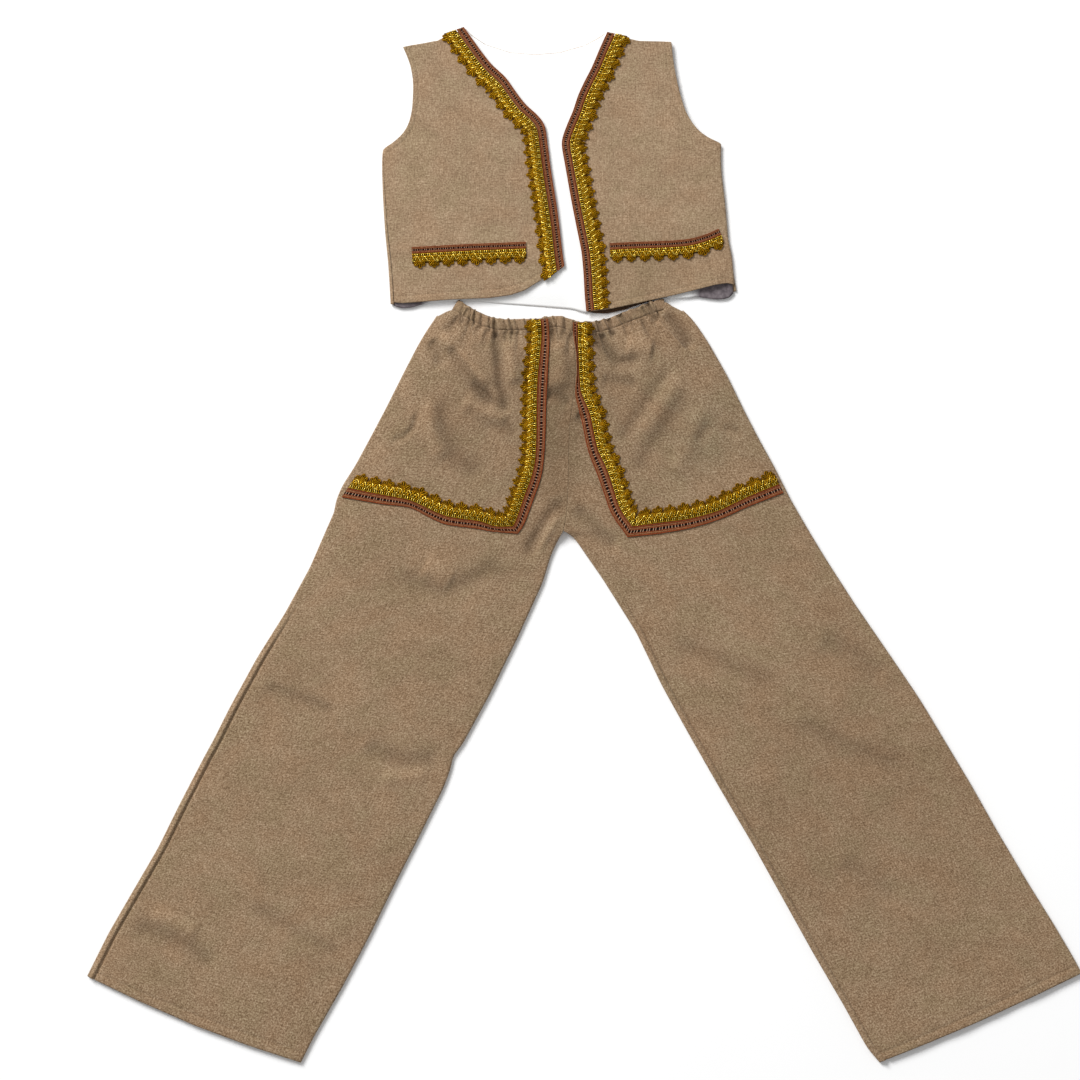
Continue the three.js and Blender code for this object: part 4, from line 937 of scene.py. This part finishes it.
def scallop(t, depth, lobe):
    """Outline of the gold braid: three lobes round each tip, at the middle of each pitch."""
    out = np.full(np.shape(t), depth - lobe)
    for middle, wide, reach in ((0.5, 0.2, 0.0), (0.26, 0.18, -1.7), (0.74, 0.18, -1.7),
                                (0.04, 0.13, -3.9), (0.96, 0.13, -3.9)):
        inside = np.sqrt(np.clip(1 - ((t - middle) / wide) ** 2, 0, 1))
        out = np.maximum(out, depth - lobe + (lobe + reach) * inside)
    return out


# the loops round each tip of the gold braid: lean in degrees, length, width and distance of the base
LEAVES = ((0.0, 7.2, 3.9, 8.2), (-40.0, 6.6, 3.7, 7.8), (40.0, 6.6, 3.7, 7.8),
          (-74.0, 5.2, 2.6, 7.4), (74.0, 5.2, 2.6, 7.4))


def gold(threads, path, start, depth, pitch):
    """Gold lace from the distance start. NET, CORD, SHINE and LEAF are the numbers of its materials."""
    NET, CORD, SHINE, LEAF = range(4)
    count = round(path.length / pitch)
    step = path.length / count
    k = depth / GOLD_DEPTH
    a = np.minimum(np.arange(0, path.length + 0.3, 0.62), path.length)
    out = start + scallop(a / step % 1, depth, 6.0 * k) - 0.5
    columns = np.array([0, 0.16, 0.34, 0.52, 0.68, 0.82, 0.93, 1.0])
    height = np.array([0.1, 0.62, 0.5, 0.72, 0.55, 0.7, 0.5, 0.0])
    threads.strip(path, a, start + 0.3 + (out - start - 0.3)[:, None] * columns, height, NET)
    # the header: two cords with bars across
    straight = np.minimum(np.arange(0, path.length + 0.5, 1.3), path.length)
    threads.tube(path, xyz(straight, start + 0.55, 0.8), 0.5, CORD)
    threads.tube(path, xyz(straight, start + 3.1 * k, 0.95), 0.42, LEAF, 4)
    for n, at in enumerate(np.arange(0.95, path.length, 1.9)):
        bar = [(at, start + 0.5, 1.1), (at, start + 1.5 * k, 1.35), (at + 0.2, start + 2.9 * k, 1.15)]
        threads.tube(path, bar, 0.5, SHINE if n % 3 else CORD)
    # three interlaced cords with rings on both sides
    fine = np.arange(0, path.length, 0.6)
    for j in range(3):
        phase = 2 * math.pi * (fine / (step / 2) + j / 3)
        d = start + (6.0 + 2.5 * np.sin(phase)) * k
        h = 1.25 + 0.38 * np.cos(phase + j)
        threads.tube(path, xyz(fine, d, h), 0.52 + 0.1 * np.sin(phase * 2 + j), (SHINE, CORD, CORD)[j])
    turn = np.linspace(0, 2 * math.pi, 8, endpoint=False)
    for n in range(count * 2):
        ring = xyz((n + 0.5) * step / 2 + 0.95 * np.cos(turn),
                   start + (8.3 if n % 2 else 3.9) * k + 0.75 * np.sin(turn), 1.35 + 0.15 * np.sin(turn + n))
        threads.tube(path, ring, 0.42, CORD if n % 3 else SHINE, closed=True)
    # leaf-shaped loops, each with a rib
    turn = np.linspace(0, 2 * math.pi, 13, endpoint=False)
    rib = np.linspace(0.2, 0.92, 4)
    wide = step / 11.2
    for n in range(count):
        middle = (n + 0.5) * step
        for lean, length, width, base in LEAVES:
            angle = math.radians(lean + 5 * math.sin(3.1 * n + lean))
            along = length * k * 0.5 * (1 - np.cos(turn))
            side = 0.5 * width * np.sin(turn) * (0.55 + 0.45 * (1 - np.cos(turn)) / 2)
            aa = middle + (math.sin(angle) * along + math.cos(angle) * side) * wide
            dd = start + base * k + math.cos(angle) * along - math.sin(angle) * side
            hh = 1.0 + 0.25 * np.sin(turn + n) - 0.35 * along / 7
            threads.tube(path, xyz(aa, dd, hh), 0.47, LEAF, closed=True)
            aa = middle + math.sin(angle) * rib * length * k * wide
            dd = start + base * k + math.cos(angle) * rib * length * k
            threads.tube(path, xyz(aa, dd, 1.15 - 0.3 * rib), 0.42, CORD if abs(lean) < 50 else LEAF, 4)


def brown(threads, path, low, high, pitch):
    """Red-brown braid with a row of eyelets between the distances low and high. Without a low distance it
    has the width of its path."""
    DARK, WEAVE, EDGE, BAR = range(4)
    a = np.minimum(np.arange(0, path.length + 0.5, 0.7), path.length)
    lo = -path.width(a) if low is None else np.full(len(a), float(low))
    wide = high - lo
    size = np.clip(wide / 7.5, 0.25, 1.1)

    def at(shares):
        return lo[:, None] + wide[:, None] * shares

    threads.strip(path, a, at(np.array([0, 0.1, 0.5, 0.9, 1.0])), np.array([0.0, 0.3, 0.15, 0.3, 0.0]), DARK)
    ribs = 0.16 * np.sin(a[:, None] * 2 * math.pi / 1.4)
    for from_, to in ((0.08, 0.31), (0.69, 0.92)):
        threads.strip(path, a, at(np.linspace(from_, to, 6)),
                      np.array([0.3, 0.7, 0.85, 0.85, 0.7, 0.3]) + ribs, WEAVE)
    for share, radius in ((0.05, 0.5), (0.95, 0.5), (0.33, 0.3), (0.67, 0.3)):
        threads.tube(path, xyz(a, lo + wide * share, 0.72), radius * size, EDGE)
    count = round(path.length / pitch)
    for n in range(count):
        p = (n + 0.5 + 0.12 * math.sin(2.9 * n)) * path.length / count
        d, w = float(np.interp(p, a, lo)), float(np.interp(p, a, wide))
        if w > 3.4:
            threads.tube(path, [(p, d + w * 0.32, 0.6), (p, d + w * 0.5, 0.8), (p, d + w * 0.68, 0.6)],
                         0.16 * pitch * min(1.0, w / 7.0), BAR)


# ---------------------------------------------------------------- materials

class Look:
    """A node material. Numbers that are the same all over are set on the shader itself."""

    def __init__(self, name, **shader):
        self.material = bpy.data.materials.new(name)
        self.material.use_nodes = True
        self.tree = self.material.node_tree
        self.shader = self.tree.nodes["Principled BSDF"]
        for socket, value in shader.items():
            self.shader.inputs[socket.replace("_", " ")].default_value = value

    def node(self, kind, inputs=None, **settings):
        made = self.tree.nodes.new(kind)
        for key, value in settings.items():
            setattr(made, key, value)
        for key, value in (inputs or {}).items():
            if isinstance(value, bpy.types.NodeSocket):
                self.tree.links.new(value, made.inputs[key])
            else:
                made.inputs[key].default_value = value
        return made

    def link(self, source, socket):
        self.tree.links.new(source, self.shader.inputs[socket])

    def spots(self, size, detail=2.0, roughness=0.5, across=None, where="cloth"):
        """Noise whose grains are size mm wide across and along the cloth."""
        if where == "cloth":
            place = self.node("ShaderNodeUVMap", uv_map="cloth").outputs["UV"]
        else:
            place = self.node("ShaderNodeTexCoord").outputs["Object"]
        stretch = (1000 / size, 1000 / (across or size), 1000 / size)
        scaled = self.node("ShaderNodeVectorMath", {0: place, 1: stretch}, operation="MULTIPLY")
        return self.node("ShaderNodeTexNoise", {"Vector": scaled.outputs[0], "Scale": 1.0, "Detail": detail,
                                                "Roughness": roughness}).outputs["Fac"]

    def math(self, operation, a, b):
        return self.node("ShaderNodeMath", {0: a, 1: b}, operation=operation).outputs[0]

    def ramp(self, value, *stops):
        made = self.node("ShaderNodeValToRGB", {"Fac": value})
        elements = made.color_ramp.elements
        while len(elements) < len(stops):
            elements.new(0.5)
        for element, (position, colour) in zip(elements, stops):
            element.position = position
            element.color = (*colour, 1.0)
        return made.outputs["Color"]

    def blend(self, factor, a, b, mode="MIX"):
        made = self.node("ShaderNodeMix", data_type="RGBA", blend_type=mode)
        for socket, value in ((made.inputs[0], factor), (made.inputs[6], a), (made.inputs[7], b)):
            if isinstance(value, bpy.types.NodeSocket):
                self.tree.links.new(value, socket)
            else:
                socket.default_value = value if isinstance(value, float) else (*value, 1.0)
        return made.outputs[2]

    def bump(self, height, depth, strength=1.0):
        made = self.node("ShaderNodeBump", {"Height": height, "Distance": depth * MM, "Strength": strength})
        self.link(made.outputs[0], "Normal")


def srgb(r, g, b):
    """Linear colour of an sRGB one with numbers up to 255."""
    shares = (r / 255, g / 255, b / 255)
    return tuple(c / 12.92 if c <= 0.04045 else ((c + 0.055) / 1.055) ** 2.4 for c in shares)


def linen(name, dark, middle, light, streak=1.0, grain=1.0, blotch=1.0, stain_and_shade=()):
    """Heathered cloth. stain_and_shade has x, y, half width, half length in mm and the tint of each darker
    place, which is painted shade or, for one greenish place on the trousers, a stain.
    """
    look = Look(name, Roughness=0.9, Sheen_Weight=0.12, Sheen_Roughness=0.5, Specular_IOR_Level=0.25)
    down = look.spots(1.3, 3.0, 0.6, across=6.0)
    cross = look.spots(5.5, 3.0, 0.6, across=1.3)
    specks = look.spots(1.4, 2.0, 0.7)
    patches = look.spots(16.0, 3.0, 0.6)
    wide = look.spots(70.0, 2.0, 0.5)
    layers = ((down, 0.55 * streak), (cross, 0.55 * streak), (specks, 0.5 * grain), (patches, 0.3 * blotch),
              (wide, 0.16 * blotch))
    total = 0.5 - 0.5 * sum(weight for _, weight in layers)
    for layer, weight in layers:
        added = look.node("ShaderNodeMath", {0: layer, 1: weight, 2: total}, operation="MULTIPLY_ADD")
        total = added.outputs[0]
    colour = look.ramp(total, (0.3, dark), (0.5, middle), (0.7, light))
    hue = look.spots(34.0, 2.0, 0.5)
    tint = look.ramp(hue, (0.36, (0.97, 1.0, 0.975)), (0.5, (1, 1, 1)), (0.64, (1.02, 0.985, 0.965)))
    colour = look.blend(1.0, colour, tint, "MULTIPLY")
    # painted shade in the creases and painted highlight on their ridges: the colour follows the stored fold
    # height
    fold = look.node("ShaderNodeAttribute", attribute_name="fold").outputs["Fac"]
    fold = look.node("ShaderNodeMapRange", {0: fold, 1: -5.0, 2: 5.0}).outputs[0]
    fold_shade_and_highlight = look.ramp(fold, (0.06, (0.6, 0.59, 0.58)), (0.2, (0.77, 0.76, 0.75)), (0.5, (1, 1, 1)),
                     (0.82, (1.12, 1.11, 1.11)))
    colour = look.blend(1.0, colour, fold_shade_and_highlight, "MULTIPLY")
    # each place darkens the colour by its tint: painted shade, except the greenish stain at x 108 on the
    # trousers
    for x, y, wide, long, shade in stain_and_shade:
        where = look.node("ShaderNodeTexCoord").outputs["Object"]
        away = look.node("ShaderNodeVectorMath", {0: where, 1: (x * MM, y * MM, 0)}, operation="SUBTRACT")
        away = look.node("ShaderNodeVectorMath", {0: away.outputs[0], 1: (1 / wide / MM, 1 / long / MM, 0)},
                         operation="MULTIPLY")
        far = look.node("ShaderNodeVectorMath", {0: away.outputs[0]}, operation="LENGTH").outputs["Value"]
        near = look.node("ShaderNodeMapRange", {0: far, 1: 1.0, 2: 0.2}, interpolation_type="SMOOTHSTEP")
        colour = look.blend(near.outputs[0], colour, look.blend(1.0, colour, shade, "MULTIPLY"))
    look.link(colour, "Base Color")
    thread = look.math("ADD", look.math("MULTIPLY", down, 0.5), look.math("MULTIPLY", cross, 0.5))
    place = look.node("ShaderNodeUVMap", uv_map="cloth").outputs["UV"]
    weave = []
    for direction in ("X", "Y"):
        wave = look.node("ShaderNodeTexWave", {"Vector": place, "Scale": 1000 / 0.62 / 20, "Distortion": 1.2,
                                               "Detail": 1.0, "Detail Scale": 2.0}, bands_direction=direction)
        weave.append(wave.outputs["Fac"])
    woven = look.math("MULTIPLY", *weave)
    look.bump(look.math("ADD", look.math("MULTIPLY", woven, 0.35), thread), 0.35, 0.5)
    rough = look.ramp(specks, (0.3, (0.84,) * 3), (0.7, (0.96,) * 3))
    look.link(rough, "Roughness")
    return look.material


def metal(name, dark, light, roughness, metallic, grain=0.5):
    look = Look(name, Metallic=metallic, Roughness=roughness, Specular_IOR_Level=0.15)
    spots = look.spots(grain, 2.0, 0.6, where="object")
    look.link(look.ramp(spots, (0.32, dark), (0.68, light)), "Base Color")
    look.link(look.ramp(look.spots(grain * 2, 1.0, 0.5, where="object"),
                        (0.3, (roughness * 0.8,) * 3), (0.7, (min(1, roughness * 1.25),) * 3)), "Roughness")
    look.bump(look.spots(grain * 0.8, 2.0, 0.6, where="object"), 0.3, 0.8)
    return look.material


def thread_look(name, dark, light, grain=0.7):
    look = Look(name, Roughness=0.8, Specular_IOR_Level=0.12)
    spots = look.spots(grain, 2.0, 0.6, where="object")
    look.link(look.ramp(spots, (0.3, dark), (0.7, light)), "Base Color")
    look.link(look.ramp(spots, (0.3, (0.65,) * 3), (0.7, (0.85,) * 3)), "Roughness")
    look.bump(spots, 0.25, 0.7)
    return look.material


# painted shade: the vest's cloth is darker towards the hems of both fronts
VEST_CLOTH = linen("vest cloth", srgb(112, 89, 65), srgb(150, 125, 98), srgb(186, 162, 134), 0.6, 1.4, 0.55,
                   [(75, 235, 95, 70, (0.9, 0.89, 0.87)), (-110, 225, 60, 40, (0.94, 0.93, 0.92))])
# painted shade: the trouser cloth is darker between the braids, over the hips and down the lower left leg;
# the greenish place at x 108 is a stain
LEG_CLOTH = linen("trouser cloth", srgb(98, 75, 51), srgb(139, 114, 87), srgb(179, 156, 129), 0.6, 1.9, 0.45,
                  [(-22, 105, 30, 130, (0.8, 0.79, 0.76)), (-20, 125, 190, 130, (0.9, 0.9, 0.89)),
                   (108, 100, 60, 60, (0.9, 0.95, 0.96)), (250, -240, 200, 190, (0.93, 0.92, 0.91))])
BAND_CLOTH = linen("waistband cloth", srgb(98, 75, 51), srgb(138, 113, 86), srgb(176, 153, 126),
                   0.6, 1.5, 0.4)
# painted shade: the back's turned up hem under the left front, beige cloth painted dark brown as if in the
# front's shadow
SHADED_HEM_CLOTH = linen("hem in painted shade", srgb(50, 34, 22), srgb(78, 56, 40), srgb(112, 86, 64), 0.6, 1.4, 0.4)
GOLD_LOOKS = [
    metal("gold net", srgb(44, 27, 0), srgb(98, 66, 2), 0.6, 0.5, 0.7),
    metal("gold cord", srgb(118, 80, 2), srgb(190, 146, 22), 0.38, 0.85),
    metal("gold shine", srgb(190, 150, 30), srgb(255, 232, 118), 0.28, 0.9),
    metal("gold leaf", srgb(104, 67, 0), srgb(162, 115, 6), 0.45, 0.75),
]
BROWN_LOOKS = [
    thread_look("eyelets", srgb(10, 4, 2), srgb(34, 17, 10)),
    thread_look("braid weave", srgb(80, 42, 22), srgb(166, 112, 74), 0.9),
    thread_look("braid edge", srgb(84, 30, 12), srgb(156, 76, 38)),
    thread_look("braid bars", srgb(112, 78, 58), srgb(196, 160, 132)),
]


def lining_look():
    look = Look("lining cloth", Roughness=0.9, Specular_IOR_Level=0.2)
    thread = look.spots(0.9, 2.0, 0.6)
    white = look.ramp(thread, (0.3, srgb(242, 242, 241)), (0.7, srgb(252, 252, 251)))
    # painted shade: the lining turns grey-violet where it shows under the raised hem corners of the fronts
    painted_corner_shade = look.ramp(look.spots(5.0, 3.0, 0.6), (0.3, srgb(84, 76, 80)), (0.7, srgb(128, 119, 122)))
    place = look.node("ShaderNodeSeparateXYZ", {0: look.node("ShaderNodeTexCoord").outputs["Object"]})
    outward = look.math("ABSOLUTE", look.math("ADD", place.outputs[0], 0.0215), 0.0)
    corner = look.node("ShaderNodeMapRange", {0: outward, 1: 0.1155, 2: 0.1255}).outputs[0]
    low = look.node("ShaderNodeMapRange", {0: place.outputs[1], 1: 0.262, 2: 0.25}).outputs[0]
    look.link(look.blend(look.math("MULTIPLY", corner, low), white, painted_corner_shade), "Base Color")
    look.bump(thread, 0.15, 0.4)
    return look.material


LINING_CLOTH = lining_look()

# ---------------------------------------------------------------- the trousers


def settle(piece, slot, *nodes):
    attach(piece, "root")
    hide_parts(*nodes)


def mark_folds(obj, verts):
    """Gives each point its height in the folds, from which its colour gets painted shade deep in them and a
    painted highlight on their ridges.
    """
    x, y = verts[:, 0], verts[:, 1]
    height = crease_height(x, y, CREASES + PLEATS) + gather_height(x, y)
    obj.data.attributes.new("fold", "FLOAT", "POINT").data.foreach_set("value", height.astype(np.float32))


def trim(place, side, *lengths):
    """Sews on both braids. Each length has its path, then start, depth and pitch of the gold and low, high
    and pitch of the brown."""
    lace, tape = Threads(), Threads()
    for path, gold_sizes, brown_sizes in lengths:
        gold(lace, path, *gold_sizes)
        brown(tape, path, *brown_sizes)
    where = f"{place}_{side}"
    settle(lace.build(f"gold_lace_{where}", GOLD_LOOKS), "gold_braid", f"gold_braid_{where}")
    settle(tape.build(f"brown_tape_{where}", BROWN_LOOKS), "brown_braid", f"brown_braid_{where}")


skins = [waistband_mesh()]
casing = cloth_object("waistband_cloth", skins[0], THIN, BAND_CLOTH)
mark_folds(casing, skins[0][0])
settle(casing, "waistband_cloth", "waistband")
for side in HAND:
    skins.append(trouser_mesh(side))
    leg = cloth_object(f"trousers_{side}", skins[-1], CLOTH, LEG_CLOTH)
    mark_folds(leg, skins[-1][0])
    settle(leg, "cloth", f"trousers_front_{side}", f"trousers_back_{side}")

under = tree_of(skins)
for side, hand in HAND.items():
    line = TROUSER_TRIM[side]
    reach = (-10, GOLD_DEPTH + 1)
    down = Run(line["down"], hand, 0, -MITRE, under, reach)
    across = Run(line["across"], hand, MITRE, line["slant"], under, reach)
    brown_sizes = (None, -0.2, TROUSER_BARS)
    trim("trousers", side, (down, (0.2, GOLD_DEPTH, DOWN_PITCH), brown_sizes),
         (across, (0.2, GOLD_DEPTH, ACROSS_PITCH), brown_sizes))

# ---------------------------------------------------------------- the vest

for side, hand in HAND.items():
    mesh, panel = vest_front_mesh(side)
    front = cloth_object(f"vest_front_cloth_{side}", mesh, VEST_THICK, VEST_CLOTH)
    settle(front, "cloth", f"vest_front_{side}")
    under = tree_of([mesh])
    edge = Run(panel.i, -hand, *EDGE_TRIM[side], under, (0, EDGE_BROWN + GOLD_DEPTH + 1), through=False)
    trim("vest", side, (edge, (EDGE_BROWN + 0.6, GOLD_DEPTH, EDGE_PITCH), (0.2, EDGE_BROWN, VEST_BARS)))
    pocket = Run(POCKET_TOP[side], -1, 0, 0, under, (0, POCKET_BROWN + GOLD_DEPTH))
    trim("pocket", side,
         (pocket, (POCKET_BROWN + 0.3, POCKET_DEPTH[side], POCKET_PITCH), (0, POCKET_BROWN, VEST_BARS)))

# the faces of the hem turned up below the left front get the painted shade
mesh, shaded_hem = vest_back_mesh()
back = cloth_object("vest_back_cloth", mesh, VEST_THICK, VEST_CLOTH, SHADED_HEM_CLOTH, face_looks=shaded_hem)
settle(back, "cloth", "vest_back")
settle(cloth_object("vest_lining", lining_mesh(), THIN, LINING_CLOTH), "lining", "vest_back_lining")

# ---------------------------------------------------------------- floor, light and camera

CENTRE = (-0.04005, 0.0045)  # middle of the view, in m
FRAME_WIDTH = 0.972  # width of the view on the floor, in m

bpy.ops.mesh.primitive_plane_add(size=30, location=(0, 0, -0.0002))
floor = bpy.context.object
floor.name = "floor"
floor_look = Look("floor", Roughness=0.95, Specular_IOR_Level=0.1)
pale = floor_look.spots(300.0, 2.0, 0.5, where="object")
floor_look.link(floor_look.ramp(pale, (0.3, (0.96, 0.96, 0.96)), (0.7, (0.98, 0.98, 0.98))), "Base Color")
floor.data.materials.append(floor_look.material)

world = bpy.data.worlds.new("studio")
bpy.context.scene.world = world
world.use_nodes = True
world.node_tree.nodes["Background"].inputs["Color"].default_value = (1.0, 1.0, 1.0, 1.0)
world.node_tree.nodes["Background"].inputs["Strength"].default_value = 0.42

key = bpy.data.lights.new("key", "SUN")
key.energy = 2.5
key.angle = math.radians(24)
key_object = bpy.data.objects.new("key", key)
key_object.rotation_euler = Vector((-0.62, 0.85, 0.75)).to_track_quat("Z", "Y").to_euler()
bpy.context.scene.collection.objects.link(key_object)
window = bpy.data.lights.new("window light", "AREA")
window.shape = "SQUARE"
window.size = 1.1
window.energy = 20
window_object = bpy.data.objects.new("window light", window)
window_object.location = (-1.3, 1.2, 1.5)
window_object.rotation_euler = (-window_object.location).to_track_quat("-Z", "Y").to_euler()
bpy.context.scene.collection.objects.link(window_object)

camera = bpy.data.objects.new("camera", bpy.data.cameras.new("camera"))
camera.data.lens = 100
camera.data.sensor_width = 36
camera.data.clip_end = 20
camera.location = (*CENTRE, 0.004 + FRAME_WIDTH * 100 / 36)
bpy.context.scene.collection.objects.link(camera)
bpy.context.scene.camera = camera
bpy.context.scene.view_settings.view_transform = "Standard"
